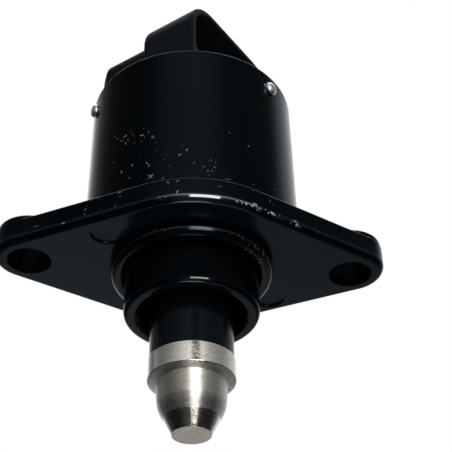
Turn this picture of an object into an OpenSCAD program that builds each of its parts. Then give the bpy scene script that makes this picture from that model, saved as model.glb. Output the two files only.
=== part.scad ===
// Idle air control valve for a throttle body.
// A flanged casting holds a small stepping motor. The motor turns a nut, and the
// nut slides a screw with a conical valve nose in and out of the air passage.
// Origin: centre of the flange's mounting face. +Z runs up the motor axis to the
// connector, and X runs through the two fixing holes. Millimetres.

/* [Flange] */
// Distance between the two fixing holes
hole_spacing = 50; // [46:0.5:60]
// Diameter of a fixing hole
hole_d = 6.4; // [5:0.1:7]
// Diameter of the round ear around a fixing hole
ear_d = 10.7; // [9:0.1:13]
// Height of the ear above the flange's top face
ear_rise = 1.2; // [0.4:0.1:3]
// Thickness of the flange
flange_t = 4; // [3.4:0.1:4.6]
// How far the ear's raised face stands back from the flange's edge
ear_step = 0.15; // [0.1:0.05:0.5]
// Rounding of the ear's top edge
ear_edge = 0.6; // [0.2:0.05:1]
// How far the flange stands out past the can's rim
flange_rim = 0.55; // [0.5:0.05:3]
// Rounding of the flange's top edge
flange_edge = 0.3; // [0.2:0.05:0.8]
// Rounding of the flange's edge at the mounting face
flange_low_edge = 0.8; // [0.3:0.05:1]
// Diameter of the two round moulding marks under the flange
mark_d = 5.1; // [3:0.1:5.6]
// Depth of the moulding marks
mark_depth = 0.4; // [0.2:0.05:0.8]
// Angle of the moulding marks from the line of the holes
mark_turn = 31; // [25:1:40]

/* [Motor can] */
// Outer diameter of the can at its rim
can_d = 33.5; // [33:0.5:38]
// How much larger the can's radius is at its foot, as the draft of a casting
can_draft = 0.2; // [0:0.05:0.3]
// Wall thickness of the can
can_wall = 1.2; // [0.9:0.05:1.4]
// How far the rim stands above the cap
rim_lip = 0.4; // [0.2:0.1:1]
// Depth of the lightening pocket round the bearing boss
pocket_depth = 3.5; // [2:0.1:4]
// Number of drive pins that hold the cap
cap_pins = 3; // [3:1:3]
// Direction of the first drive pin, from the front
pin_turn = 45; // [40:1:50]
// Distance of the drive pins below the rim
pin_drop = 3; // [2.4:0.1:3.6]
// Diameter of a drive pin's shank
pin_d = 1.8; // [1.4:0.1:2]
// Diameter of a drive pin's head
pin_head_d = 2.3; // [2.1:0.1:3]
// How far a drive pin's head stands out
pin_head_h = 0.9; // [0.5:0.1:1.2]
// Length of a drive pin's shank
pin_len = 3.4; // [2.6:0.1:4]

/* [Spigot] */
// Diameter of the spigot that enters the air passage
spigot_d = 20.6; // [20:0.1:22]
// Length of the spigot below the mounting face
spigot_len = 9.2; // [8:0.1:11]
// Rounding of the spigot's rim
spigot_edge = 0.8; // [0.3:0.1:1]
// Diameter of the recess round the valve sleeve
recess_d = 16.2; // [14.5:0.1:17]
// Chamfer at the recess's mouth
recess_chamfer = 0.5; // [0.2:0.1:0.8]
// Thickness of the floor between the recess and the bearing
web_t = 3; // [2:0.1:3.4]
// Section of the O-ring at the mounting face
oring_d = 2.6; // [2:0.1:3]
// Depth of the O-ring's seat in the spigot
oring_seat = 0.3; // [0.1:0.05:0.5]
// Depth of the shallow relief in the mounting face that the O-ring sits in
oring_relief = 0.2; // [0.1:0.05:0.4]

/* [Valve nose] */
// Distance of the nose's tip below the mounting face at rest
reach = 28.44; // [26:0.1:32]
// How far the nose can draw in from rest
travel_in = 6.5; // [4:0.1:6.5]
// How far the nose can push out from rest
travel_out = 1.5; // [0.5:0.1:2.5]
// How far the nose's collar stands out past the sleeve
collar_step = 0.22; // [0.1:0.02:0.5]
// Height of the collar's straight edge
collar_h = 3.35; // [2.5:0.05:4.5]
// Height of the slope under the collar
collar_slope = 0.45; // [0.2:0.05:1]
// Diameter of the nose below the collar
nose_d = 10.4; // [9.6:0.1:11.4]
// Length of the nose below the collar
nose_len = 7.94; // [7:0.02:10]
// Length of the nose's upper, nearly straight stretch
nose_band = 2.6; // [1.5:0.1:3.2]
// Side angle of the upper stretch
nose_band_angle = 3; // [1:0.5:5]
// Radius of the curve between the upper stretch and the cone
nose_arc = 5; // [3:0.1:7]
// Side angle of the cone that ends in the flat tip
nose_angle = 27; // [22:0.5:30]
// Height of the shoulder that carries the sleeve
shoulder_h = 2; // [1.5:0.1:3]
// Diameter of the sleeve
sleeve_d = 12.52; // [12.1:0.02:12.6]
// Wall thickness of the sleeve
sleeve_wall = 1.05; // [0.8:0.05:1.2]

/* [Screw and spring] */
// Diameter of the lead screw
screw_d = 4; // [3.6:0.1:4.2]
// Distance across the screw's two flats
screw_flats = 3.2; // [2.6:0.1:3.4]
// Length of the threaded nut
nut_len = 5.5; // [4:0.1:6]
// Outer diameter of the threaded nut
nut_d = 6.4; // [6:0.1:6.8]
// How far inside the spigot's end the guide bush stops
guide_inset = 3.2; // [3.1:0.1:5]
// Outer diameter of the guide bush's tube
guide_d = 6.8; // [6.2:0.1:7]
// Diameter of the guide bush where it is pressed into the floor
guide_seat_d = 7.9; // [7.6:0.1:8.2]
// Wire diameter of the spring
spring_wire = 0.8; // [0.6:0.05:0.8]
// Mean diameter of the spring
spring_d = 8.7; // [8.6:0.05:8.9]
// Turns of the spring
spring_turns = 7; // [5:1:9]

/* [Ball bearing] */
// Outer diameter of the bearing
bearing_d = 16; // [15.6:0.1:16.4]
// Width of the bearing
bearing_w = 4; // [3.6:0.1:4.6]
// Bore of the bearing
bearing_bore = 8; // [7.8:0.1:8.2]
// Diameter of a ball
ball_d = 2; // [1.7:0.05:2.1]
// Number of balls
balls = 8; // [8:1:8]

/* [Motor] */
// Height of one phase of the stator
phase_h = 7.2; // [6.6:0.1:8]
// Thickness of the pole plates
plate_t = 0.8; // [0.6:0.05:1]
// Number of claws on a pole plate
claws = 6; // [5:1:7]
// Width of a claw at its root
claw_root = 4.6; // [3.6:0.1:4.6]
// Width of a claw at its tip
claw_tip = 2.3; // [1.6:0.1:2.3]
// Diameter of the rotor magnet
magnet_d = 14.4; // [13:0.1:14.8]
// Air gap between the magnet and the claws
air_gap = 0.4; // [0.3:0.05:0.6]
// Diameter of the hub inside the magnet
hub_d = 9; // [8.8:0.1:9.6]
// Diameter of the hub's rear journal
journal_d = 6.8; // [6.4:0.1:7.2]
// Thickness of the bobbin's walls
bobbin_wall = 0.6; // [0.5:0.05:0.8]
// Wall of the rear bush
bush_wall = 1.55; // [1:0.05:2]

/* [Connector] */
// Direction that the connector opens in, from the front
conn_turn = 50.5; // [45:0.5:56]
// Width of the connector
conn_w = 25; // [23:0.1:26]
// Height of the connector above the rim
conn_h = 14.9; // [13.6:0.1:17]
// Distance of the connector's mouth from the axis
conn_front = 8.9; // [8:0.1:9.4]
// Distance of the tall part's back past the axis
conn_back = 1.5; // [0.6:0.1:2]
// Rounding of the tall part's back edges
back_edge = 0.8; // [0.3:0.1:1.2]
// Radius of the connector's top corners
conn_corner = 6; // [4:0.1:7]
// Wall thickness of the connector
conn_wall = 1.2; // [1:0.1:1.6]
// Depth of the connector's wide mouth
mouth_depth = 6; // [5:0.1:6.4]
// Height of the low block behind the connector
block_h = 9.3; // [6:0.1:10]
// Rounding of the low block's top edge
block_edge = 3; // [1:0.1:3.5]
// How far the terminals' tips stand back from the mouth
terminal_inset = 3.5; // [3:0.1:4.5]
// Height of the cap's plug inside the can
plug_h = 6.6; // [6:0.1:7.6]
// Distance between the terminals
terminal_pitch = 3.8; // [3.4:0.1:4]
// Width of a terminal
terminal_w = 1.5; // [1.2:0.1:1.8]
// Thickness of a terminal
terminal_t = 0.64; // [0.5:0.02:0.8]
// Width of the latch ramp on the roof
latch_w = 2.4; // [2:0.1:4]
// Height of the latch ramp
latch_h = 1.2; // [0.8:0.1:2]
// Distance from the mouth to the latch's catch
latch_len = 8.5; // [6:0.1:8.6]
// Length of the latch's flat top
latch_flat = 3; // [1:0.1:4]

/* [Hidden] */
$fn = 72;
// Clearance where one still piece is seated in another
seat_gap = 0.05;
// Clearance of a running fit
run_gap = 0.05;
// Clearance where a moving piece comes near another at the end of its travel
end_gap = 0.3;
// Overlap that joins two volumes of one piece
weld = 0.5;

terminal_names = ["terminal_1", "terminal_2", "terminal_3", "terminal_4"];

// Heights, from the mounting face up
recess_floor = flange_t - 2;
bearing_floor = recess_floor + web_t;
seat_z = bearing_floor + bearing_w;
stator_top = seat_z + 2 * phase_h;
plug_z = stator_top + end_gap;
cap_top = plug_z + plug_h;
rim_z = cap_top + rim_lip;
pin_z = rim_z - pin_drop;

// Radii of the casting
can_r = can_d / 2;
can_inner_r = can_r - can_wall;
flange_r = can_r + flange_rim;
ear_r = ear_d / 2;
ear_h = flange_t + ear_rise;
spigot_r = spigot_d / 2;
oring_seat_r = spigot_r - oring_seat;
oring_r = oring_seat_r + seat_gap + oring_d / 2;
oring_outer_r = oring_r + oring_d / 2;
oring_groove = oring_d + 2 * seat_gap + 0.1 - oring_relief;
relief_r = oring_outer_r + seat_gap;
recess_r = recess_d / 2;
boss_wall = 1.6;
seat_ledge = 2;
rim_edge = 0.25;
mark_r = relief_r + mark_d / 2 + seat_gap;

ear_x = hole_spacing / 2;

// Valve nose, from its tip up
tip_z = -reach;
nose_top_z = tip_z + nose_len;
collar_z = nose_top_z + collar_slope;
collar_top_z = collar_z + collar_h;
shoulder_z = collar_top_z + shoulder_h;
nose_r = nose_d / 2;
nose_rise = nose_arc * (sin(nose_angle) - sin(nose_band_angle));
nose_arc_r = nose_r - nose_band * tan(nose_band_angle) - nose_arc * cos(nose_band_angle);
nose_arc_z = nose_top_z - nose_band + nose_arc * sin(nose_band_angle);
cone_r = nose_arc_r + nose_arc * cos(nose_angle);
cone_z = nose_arc_z - nose_arc * sin(nose_angle);
tip_r = cone_r - (cone_z - tip_z) * tan(nose_angle);
sleeve_r = sleeve_d / 2;
collar_r = sleeve_r + collar_step;
sleeve_bore_r = sleeve_r - sleeve_wall;
sleeve_top = recess_floor - travel_in - end_gap;

// Lead screw, guide bush and nut
screw_r = screw_d / 2;
screw_bottom = nose_top_z - 1.5;
guide_flange_t = 0.8;
guide_flange_r = sleeve_bore_r - 0.25;
guide_bottom = guide_inset - spigot_len;
flats_bottom = guide_bottom - travel_in - end_gap;
flats_top = bearing_floor + travel_out + end_gap;
nut_z = seat_z + 0.5;
nut_top = nut_z + nut_len;
screw_top = nut_top + travel_out;
screw_chamfer = 0.4;

// Rotor
hub_bottom = bearing_floor + 0.2;
magnet_z = seat_z + plate_t;
magnet_top = stator_top - plate_t;
hub_shoulder = magnet_top + 0.2;
washer_space = 1;
washer_t = 0.2;
wave_h = (washer_space - washer_t) / 2 - 0.14;
bush_z = hub_shoulder + washer_space;
bush_h = 3;
hub_top = bush_z + bush_h - end_gap;
hub_bore_top = screw_top + travel_in + 0.8;
hub_r = hub_d / 2;
journal_r = journal_d / 2;
front_journal = bearing_w + 1;
bush_r = journal_r + run_gap + bush_wall;
claw_r = magnet_d / 2 + air_gap;

// Ball bearing
bearing_r = bearing_d / 2 - seat_gap;
bore_r = bearing_bore / 2 + seat_gap;
ball_r = ball_d / 2;
ball_ring_r = (bearing_r + bore_r) / 2;
ball_z = bearing_floor + bearing_w / 2;
ball_play = 0.12;
race_reach = ball_r * 0.7;
cage_t = 0.8;
cage_h = ball_d + 1.2;

// Stator
stator_r = can_inner_r - 0.1;
shell_t = 0.7;
plate_r = stator_r - shell_t - seat_gap;
bobbin_r = claw_r + plate_t + 0.1;
bobbin_flange_r = plate_r - 0.15;
winding_bulge = 0.6;
winding_r = bobbin_flange_r - winding_bulge;
claw_len = phase_h - plate_t - 0.5;
phase_turn = 360 / claws / 4;
lug_w = 3 * terminal_pitch + terminal_w + 0.7;
lug_t = 2;
lug_y = 10.2;
lug_h = 1.8;

// Cap and connector
plug_r = can_inner_r - seat_gap;
seal_d = 1.2;
seal_r = plug_r - seal_d / 2;
seal_z = plug_z + 1.5;
bush_pocket_r = bush_r + seat_gap;
bush_pocket_top = bush_z + bush_h + 0.2;
cavity_w = conn_w - 2 * conn_wall;
cavity_z = rim_z + 1.3;
cavity_h = conn_h - conn_wall - 1.3;
cavity_top_r = conn_corner - conn_wall;
cavity_low_r = 4;
mouth_back = conn_front - mouth_depth;
ledge_side = 3;
ledge_low = 2.7;
ledge_top = 0.8;
pocket_w = cavity_w - 2 * ledge_side;
pocket_z = cavity_z + ledge_low;
pocket_h = cavity_z + cavity_h - ledge_top - pocket_z;
pocket_back = 1.2;
pocket_top_r = 3;
pocket_low_r = 2.5;
terminal_z = pocket_z + pocket_h / 2 - 0.3;
terminal_low_z = rim_z + 3;
terminal_tip = conn_front - terminal_inset;
terminal_leg = 0.3;
terminal_bottom = plug_z + 0.5;
block_r = can_inner_r - 0.15;

// Turns its children round the axis by whole steps of a circle
module ring_of(count) {
    for (i = [0 : count - 1]) rotate([0, 0, i * 360 / count]) children();
}

// A flat ring with its bore
module tube(outer_r, inner_r, height) {
    difference() {
        cylinder(r = outer_r, h = height);
        translate([0, 0, -weld]) cylinder(r = inner_r, h = height + 2 * weld);
    }
}

// A disc whose top edge is rounded
module rounded_disc(disc_r, height, round_r) {
    rotate_extrude() {
        square([disc_r, height - round_r]);
        square([disc_r - round_r, height]);
        translate([disc_r - round_r, height - round_r]) circle(r = round_r);
    }
}

// A slab whose side view is drawn as (y, z), centred on the YZ plane
module side_slab(width) {
    translate([-width / 2, 0, 0]) rotate([90, 0, 90]) linear_extrude(width) children();
}

// An upright slab whose front view is drawn as (x, z), from one y to another
module front_slab(y_from, y_to) {
    translate([0, y_to, 0]) rotate([90, 0, 0]) linear_extrude(y_to - y_from) children();
}

// The diamond flange: one hull of three discs, with rounded edges
module flange_plate() {
    half = flange_t / 2;
    hull() for (place = [[0, flange_r], [ear_x, ear_r], [-ear_x, ear_r]])
        for (a = [0 : 30 : 90]) translate([place[0], 0, 0]) {
            translate([0, 0, flange_low_edge * (1 - sin(a))])
                cylinder(r = place[1] - flange_low_edge * (1 - cos(a)), h = half, $fn = 48);
            translate([0, 0, half - flange_edge * (1 - sin(a))])
                cylinder(r = place[1] - flange_edge * (1 - cos(a)), h = half, $fn = 48);
        }
}

// Half section of the can, the floor and the spigot
module casting_section() {
    difference() {
        union() {
            polygon([[0, 0], [can_r + can_draft, 0], [can_r + can_draft, flange_t],
                [can_r, rim_z - rim_edge], [0, rim_z - rim_edge]]);
            square([can_r - rim_edge, rim_z]);
            translate([0, -spigot_len]) square([spigot_r - spigot_edge, spigot_len]);
            translate([0, spigot_edge - spigot_len]) square([spigot_r, spigot_len - spigot_edge]);
            translate([spigot_r - spigot_edge, spigot_edge - spigot_len]) circle(r = spigot_edge);
        }
        translate([oring_seat_r, -oring_groove])
            square([relief_r - oring_seat_r, oring_groove + oring_relief]);
        translate([0, seat_z]) square([can_inner_r, rim_z]);
        translate([0, bearing_floor]) square([bearing_d / 2, rim_z]);
        translate([bearing_d / 2 + boss_wall, seat_z - pocket_depth])
            square([can_inner_r - bearing_d / 2 - boss_wall - seat_ledge, rim_z]);
        translate([0, -1]) square([guide_seat_d / 2 + seat_gap, rim_z]);
        translate([0, -spigot_len - 1]) square([recess_r, spigot_len + 1 + recess_floor]);
        polygon([[recess_r - 1, -spigot_len - weld],
            [recess_r + recess_chamfer + weld, -spigot_len - weld],
            [recess_r - 1, -spigot_len + recess_chamfer + 1]]);
    }
}

module valve_body() {
    color([0.06, 0.065, 0.07]) difference() {
        union() {
            rotate_extrude() casting_section();
            difference() {
                flange_plate();
                translate([0, 0, -1]) cylinder(r = can_r - weld, h = ear_h + 2);
            }
            for (side = [-1, 1]) translate([side * ear_x, 0, flange_t - 1])
                rounded_disc(ear_r - ear_step, 1 + ear_rise, ear_edge);
        }
        for (side = [-1, 1]) translate([side * ear_x, 0, -1])
            cylinder(r = hole_d / 2, h = ear_h + 2);
        ring_of(2) rotate([0, 0, mark_turn]) translate([mark_r, 0, -1])
            cylinder(r = mark_d / 2, h = 1 + mark_depth);
        for (i = [0 : cap_pins - 1]) pin_place(i)
            translate([0, 0, -can_wall - weld])
                cylinder(r = pin_d / 2 + seat_gap, h = can_wall + 2 * weld);
    }
}

// Puts its children on the can's wall at a drive pin, with +Z pointing outwards
module pin_place(i) {
    rotate([0, 0, pin_turn + i * 360 / cap_pins])
        translate([0, -can_r, pin_z]) rotate([90, 0, 0]) children();
}

// Front view of the connector's tall part, standing on the cap's face
module tall_outline(inset) {
    w = conn_w - 2 * inset;
    r = conn_corner - inset;
    low = cap_top - weld;
    top = rim_z + conn_h - inset;
    translate([-w / 2, low]) square([w, top - r - low]);
    translate([-w / 2 + r, low]) square([w - 2 * r, top - low]);
    for (side = [-1, 1]) translate([side * (w / 2 - r), top - r]) circle(r = r);
}

// A rounded window with its own top and bottom corners, standing on y = 0
module window(w, h, top_r, low_r) {
    translate([-w / 2, low_r]) square([w, h - top_r - low_r]);
    translate([-w / 2 + top_r, h / 2]) square([w - 2 * top_r, h / 2]);
    translate([-w / 2 + low_r, 0]) square([w - 2 * low_r, h / 2]);
    for (side = [-1, 1]) {
        translate([side * (w / 2 - top_r), h - top_r]) circle(r = top_r);
        translate([side * (w / 2 - low_r), low_r]) circle(r = low_r);
    }
}

// Half section of the cap's plug, with the groove for its seal
module plug_section() {
    difference() {
        translate([0, plug_z]) square([plug_r, plug_h]);
        translate([seal_r - seal_d / 2 - seat_gap, seal_z - seal_d / 2 - 0.1])
            square([3, seal_d + 0.2]);
        translate([0, plug_z - 1]) square([bush_pocket_r, bush_pocket_top - plug_z + 1]);
    }
}

// Side view of the latch ramp: it rises from the mouth and ends in a catch
module latch_section() {
    roof = rim_z + conn_h;
    start = 0.6 - conn_front;
    catch = latch_len - conn_front;
    top = catch - latch_flat;
    polygon([[start, roof - weld], [start, roof + 0.2], [top, roof + latch_h],
        [catch, roof + latch_h], [catch, roof - weld]]);
}

// Side view of a terminal: blade, leg, run through the low block, leg to the coil
module terminal_section() {
    t = terminal_t;
    polygon([[-terminal_tip, terminal_z - t / 6], [-terminal_tip, terminal_z + t / 6],
        [-terminal_tip + 0.8, terminal_z + t / 2], [-terminal_leg + t / 2, terminal_z + t / 2],
        [-terminal_leg + t / 2, terminal_low_z + t / 2], [lug_y + t / 2, terminal_low_z + t / 2],
        [lug_y + t / 2, terminal_bottom], [lug_y - t / 2, terminal_bottom],
        [lug_y - t / 2, terminal_low_z - t / 2], [-terminal_leg - t / 2, terminal_low_z - t / 2],
        [-terminal_leg - t / 2, terminal_z - t / 2], [-terminal_tip + 0.8, terminal_z - t / 2]]);
}

module terminal(i) {
    color([0.72, 0.7, 0.66]) rotate([0, 0, conn_turn])
        translate([(i - 1.5) * terminal_pitch, 0, 0]) side_slab(terminal_w) terminal_section();
}

// The tall part round the socket, with rounded edges at its back
module tall_part() {
    hull() for (a = [0 : 30 : 90])
        front_slab(-conn_front, conn_back - back_edge * (1 - sin(a)))
            tall_outline(back_edge * (1 - cos(a)));
}

// Plan of the low block: straight sides, and a back that follows the can
module block_plan(inset) {
    intersection() {
        translate([inset - conn_w / 2, 0]) square([conn_w - 2 * inset, can_r]);
        circle(r = block_r - inset);
    }
}

// The low block behind the tall part, with a well-rounded top edge
module low_block() {
    top = rim_z + block_h;
    hull() for (a = [0 : 22.5 : 90]) translate([0, 0, cap_top - weld])
        linear_extrude(top - block_edge * (1 - sin(a)) - cap_top + weld)
            block_plan(block_edge * (1 - cos(a)));
}

module connector_cap() {
    color([0.09, 0.1, 0.11]) difference() {
        union() {
            rotate_extrude() plug_section();
            rotate([0, 0, conn_turn]) {
                tall_part();
                low_block();
                side_slab(latch_w) latch_section();
            }
        }
        rotate([0, 0, conn_turn]) {
            front_slab(-conn_front - 1, -mouth_back) translate([0, cavity_z])
                window(cavity_w, cavity_h, cavity_top_r, cavity_low_r);
            front_slab(-conn_front, -pocket_back) translate([0, pocket_z])
                window(pocket_w, pocket_h, pocket_top_r, pocket_low_r);
            for (i = [0 : 3]) translate([(i - 1.5) * terminal_pitch, 0, 0])
                side_slab(terminal_w) terminal_section();
            translate([-lug_w / 2 - 0.15, lug_y - lug_t / 2 - 0.15, plug_z - 1])
                cube([lug_w + 0.3, lug_t + 0.3, 1 + lug_h - end_gap + 0.15]);
        }
        for (i = [0 : cap_pins - 1]) pin_place(i)
            translate([0, 0, -pin_len - 0.1]) cylinder(r = pin_d / 2 + seat_gap, h = pin_len + 1);
    }
}

// A drive pin with a low domed head
module cap_pin(i) {
    dome_r = (pow(pin_head_d / 2, 2) + pow(pin_head_h, 2)) / (2 * pin_head_h);
    color([0.78, 0.79, 0.8]) pin_place(i) {
        translate([0, 0, -pin_len]) cylinder(r = pin_d / 2, h = pin_len + pin_head_h / 2);
        intersection() {
            translate([0, 0, pin_head_h - dome_r]) sphere(r = dome_r);
            translate([0, 0, seat_gap]) cylinder(r = pin_head_d / 2, h = pin_head_h);
        }
    }
}

// A rubber ring of round section
module o_ring(ring_r, section_d, z) {
    translate([0, 0, z]) rotate_extrude() translate([ring_r, 0]) circle(d = section_d);
}

module body_o_ring() {
    color([0.03, 0.03, 0.035]) o_ring(oring_r, oring_d, oring_relief - seat_gap - oring_d / 2);
}

module cap_seal() {
    color([0.03, 0.03, 0.035]) o_ring(seal_r, seal_d, seal_z);
}

// The claws of one pole plate: tapered teeth bent up from the plate's bore
module pole_claws() {
    ring_of(claws) intersection() {
        tube(claw_r + plate_t, claw_r, claw_len);
        front_slab(-claw_r - 2 * plate_t, 0) polygon([[-claw_root / 2, -weld],
            [claw_root / 2, -weld], [claw_tip / 2, claw_len], [-claw_tip / 2, claw_len]]);
    }
}

// The deep half of a phase: its end plate, its outer shell and its claws
module stator_cup(z, turn) {
    color([0.5, 0.51, 0.53]) translate([0, 0, z]) rotate([0, 0, turn]) {
        tube(stator_r, claw_r + plate_t / 2, plate_t);
        tube(stator_r, stator_r - shell_t, phase_h);
        pole_claws();
    }
}

// The flat half of a phase, whose claws reach down between the cup's
module pole_plate(z, turn, notched) {
    color([0.56, 0.57, 0.59]) translate([0, 0, z + phase_h]) difference() {
        rotate([0, 0, turn + 180 / claws]) mirror([0, 0, 1]) {
            tube(plate_r, claw_r + plate_t / 2, plate_t);
            pole_claws();
        }
        if (notched) rotate([0, 0, conn_turn])
            translate([-lug_w / 2 - 0.1, lug_y - lug_t / 2 - 0.1, -plate_t - 0.05])
                cube([lug_w + 0.2, lug_t + 0.2, plate_t + 1]);
    }
}

// The spool of one phase
module bobbin(z) {
    h = phase_h - 2 * plate_t - 2 * seat_gap;
    translate([0, 0, z + plate_t + seat_gap]) {
        tube(bobbin_r + bobbin_wall, bobbin_r, h);
        tube(bobbin_flange_r, bobbin_r, bobbin_wall);
        translate([0, 0, h - bobbin_wall]) tube(bobbin_flange_r, bobbin_r, bobbin_wall);
    }
}

module bobbin_front() {
    color([0.85, 0.83, 0.76]) bobbin(seat_z);
}

// The rear spool, with the lug that takes the terminals' ends
module bobbin_rear() {
    foot = stator_top - plate_t - bobbin_wall;
    color([0.85, 0.83, 0.76]) difference() {
        union() {
            bobbin(seat_z + phase_h);
            rotate([0, 0, conn_turn]) translate([-lug_w / 2, lug_y - lug_t / 2, foot])
                cube([lug_w, lug_t, stator_top + lug_h - foot]);
        }
        rotate([0, 0, conn_turn]) for (i = [0 : 3])
            translate([(i - 1.5) * terminal_pitch, 0, 0])
                side_slab(terminal_w) terminal_section();
    }
}

// The coil: wound wire as one ring, rounded where the wire bulges
module winding(z) {
    low = z + plate_t + bobbin_wall + 2 * seat_gap;
    h = phase_h - 2 * plate_t - 2 * bobbin_wall - 4 * seat_gap;
    bulge = winding_bulge;
    inner = bobbin_r + bobbin_wall + seat_gap;
    color([0.72, 0.4, 0.2]) translate([0, 0, low]) rotate_extrude() {
        translate([inner, 0]) square([winding_r - bulge - inner, h]);
        translate([inner, bulge]) square([winding_r - inner, h - 2 * bulge]);
        translate([winding_r - bulge, bulge]) circle(r = bulge);
        translate([winding_r - bulge, h - bulge]) circle(r = bulge);
    }
}

module rotor_magnet() {
    chamfer = 0.4;
    color([0.2, 0.2, 0.21]) difference() {
        translate([0, 0, magnet_z]) rotate_extrude() polygon([[0, 0],
            [magnet_d / 2 - chamfer, 0], [magnet_d / 2, chamfer],
            [magnet_d / 2, magnet_top - magnet_z - chamfer],
            [magnet_d / 2 - chamfer, magnet_top - magnet_z], [0, magnet_top - magnet_z]]);
        cylinder(r = hub_r + seat_gap, h = magnet_top + 1);
    }
}

// The plastic hub that carries the magnet, the nut and both journals
module rotor_hub() {
    clear_r = screw_r + 0.35;
    color([0.88, 0.86, 0.8]) rotate_extrude() difference() {
        union() {
            translate([0, hub_bottom]) square([bearing_bore / 2, front_journal]);
            translate([0, seat_z]) square([hub_r, hub_shoulder - seat_z]);
            translate([0, hub_bottom]) square([journal_r, hub_top - hub_bottom]);
        }
        translate([0, hub_bottom - 1]) square([clear_r, hub_bore_top - hub_bottom + 1]);
        translate([0, nut_z]) square([nut_d / 2 + seat_gap, nut_len]);
    }
}

// The brass nut that drives the screw
module drive_nut() {
    color([0.78, 0.62, 0.3]) translate([0, 0, nut_z])
        tube(nut_d / 2, screw_r + run_gap, nut_len);
}

module rear_bush() {
    color([0.62, 0.45, 0.27]) translate([0, 0, bush_z])
        tube(bush_r, journal_r + run_gap, bush_h);
}

// A thin ring bent in three waves: one corner of its section at an angle
function wave_point(r, t, angle) =
    [r * cos(angle), r * sin(angle), t + wave_h * cos(3 * angle)];

module wave_washer() {
    steps = 48;
    t = washer_t;
    inner = journal_r + 0.2;
    outer = hub_r - 0.1;
    points = [for (i = [0 : steps - 1]) let (a = i * 360 / steps)
        each [wave_point(inner, -t / 2, a), wave_point(outer, -t / 2, a),
            wave_point(outer, t / 2, a), wave_point(inner, t / 2, a)]];
    faces = [for (i = [0 : steps - 1]) let (a = 4 * i, b = 4 * ((i + 1) % steps))
        for (k = [0 : 3]) let (n = (k + 1) % 4)
            each [[a + k, b + k, b + n], [a + k, b + n, a + n]]];
    color([0.6, 0.61, 0.63]) translate([0, 0, hub_shoulder + washer_space / 2])
        polyhedron(points, faces);
}

// Section of the balls' track, cut from both races
module ball_track() {
    translate([ball_ring_r, ball_z]) circle(r = ball_r + ball_play);
}

module bearing_outer_race() {
    inner = ball_ring_r + race_reach;
    color([0.66, 0.67, 0.69]) rotate_extrude() difference() {
        translate([inner, bearing_floor]) square([bearing_r - inner, bearing_w]);
        ball_track();
    }
}

module bearing_inner_race() {
    outer = ball_ring_r - race_reach;
    color([0.66, 0.67, 0.69]) rotate_extrude() difference() {
        translate([bore_r, hub_bottom]) square([outer - bore_r, bearing_w - 0.4]);
        ball_track();
    }
}

// The ring that keeps the balls apart
module bearing_cage() {
    color([0.72, 0.6, 0.34]) difference() {
        translate([0, 0, ball_z - cage_h / 2])
            tube(ball_ring_r + cage_t / 2, ball_ring_r - cage_t / 2, cage_h);
        ring_of(balls) translate([ball_ring_r, 0, ball_z]) sphere(r = ball_r + ball_play);
    }
}

module bearing_ball(i) {
    color([0.8, 0.81, 0.83]) rotate([0, 0, i * 360 / balls])
        translate([ball_ring_r, 0, ball_z]) sphere(r = ball_r);
}

// Section of the screw where two flats keep it from turning
module flat_section(grow) {
    intersection() {
        circle(r = screw_r + grow);
        square([screw_d + 2, screw_flats + 2 * grow], center = true);
    }
}

// The bush that guides the screw and stops it from turning
module guide_bush() {
    color([0.3, 0.26, 0.2]) difference() {
        union() {
            translate([0, 0, guide_bottom])
                cylinder(r = guide_d / 2, h = bearing_floor - guide_bottom);
            translate([0, 0, recess_floor - guide_flange_t])
                cylinder(r = guide_flange_r, h = guide_flange_t);
            translate([0, 0, recess_floor - guide_flange_t])
                cylinder(r = guide_seat_d / 2, h = bearing_floor - recess_floor + guide_flange_t);
        }
        translate([0, 0, guide_bottom - 1])
            linear_extrude(bearing_floor - guide_bottom + 2) flat_section(run_gap);
    }
}

module lead_screw() {
    color([0.68, 0.69, 0.71]) {
        translate([0, 0, screw_bottom]) cylinder(r = screw_r, h = flats_bottom - screw_bottom);
        translate([0, 0, flats_bottom - weld])
            linear_extrude(flats_top - flats_bottom + 2 * weld) flat_section(0);
        translate([0, 0, flats_top]) cylinder(r = screw_r, h = screw_top - screw_chamfer - flats_top);
        translate([0, 0, screw_top - screw_chamfer])
            cylinder(r1 = screw_r, r2 = screw_r - screw_chamfer, h = screw_chamfer);
    }
}

// The black sleeve that covers the spring
module pintle_sleeve() {
    round_r = 0.3;
    color([0.05, 0.055, 0.06]) difference() {
        translate([0, 0, collar_top_z]) rotate_extrude() {
            square([sleeve_r, sleeve_top - collar_top_z - round_r]);
            square([sleeve_r - round_r, sleeve_top - collar_top_z]);
            translate([sleeve_r - round_r, sleeve_top - collar_top_z - round_r]) circle(r = round_r);
        }
        translate([0, 0, collar_top_z - 1])
            cylinder(r = sleeve_bore_r, h = sleeve_top - collar_top_z + 2);
    }
}

// Points of the curve between the nose's upper stretch and its cone
function nose_curve(steps) = [for (i = [0 : steps])
    let (a = nose_band_angle + i * (nose_angle - nose_band_angle) / steps)
        [nose_arc_r + nose_arc * cos(a), nose_arc_z - nose_arc * sin(a)]];

// The turned metal nose: collar, curve and cone
module pintle_tip() {
    edge = 0.15;
    color([0.62, 0.6, 0.57]) difference() {
        rotate_extrude() polygon(concat([[0, tip_z]], [[tip_r, tip_z]],
            [for (i = [6 : -1 : 0]) nose_curve(6)[i]],
            [[nose_r, nose_top_z], [collar_r - edge, collar_z - edge / 2],
            [collar_r, collar_z + edge], [collar_r, collar_top_z - edge],
            [collar_r - edge, collar_top_z],
            [sleeve_bore_r - seat_gap, collar_top_z],
            [sleeve_bore_r - seat_gap, shoulder_z], [0, shoulder_z]]));
        translate([0, 0, screw_bottom]) cylinder(r = screw_r + 0.02, h = shoulder_z - screw_bottom + 1);
    }
}

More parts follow.
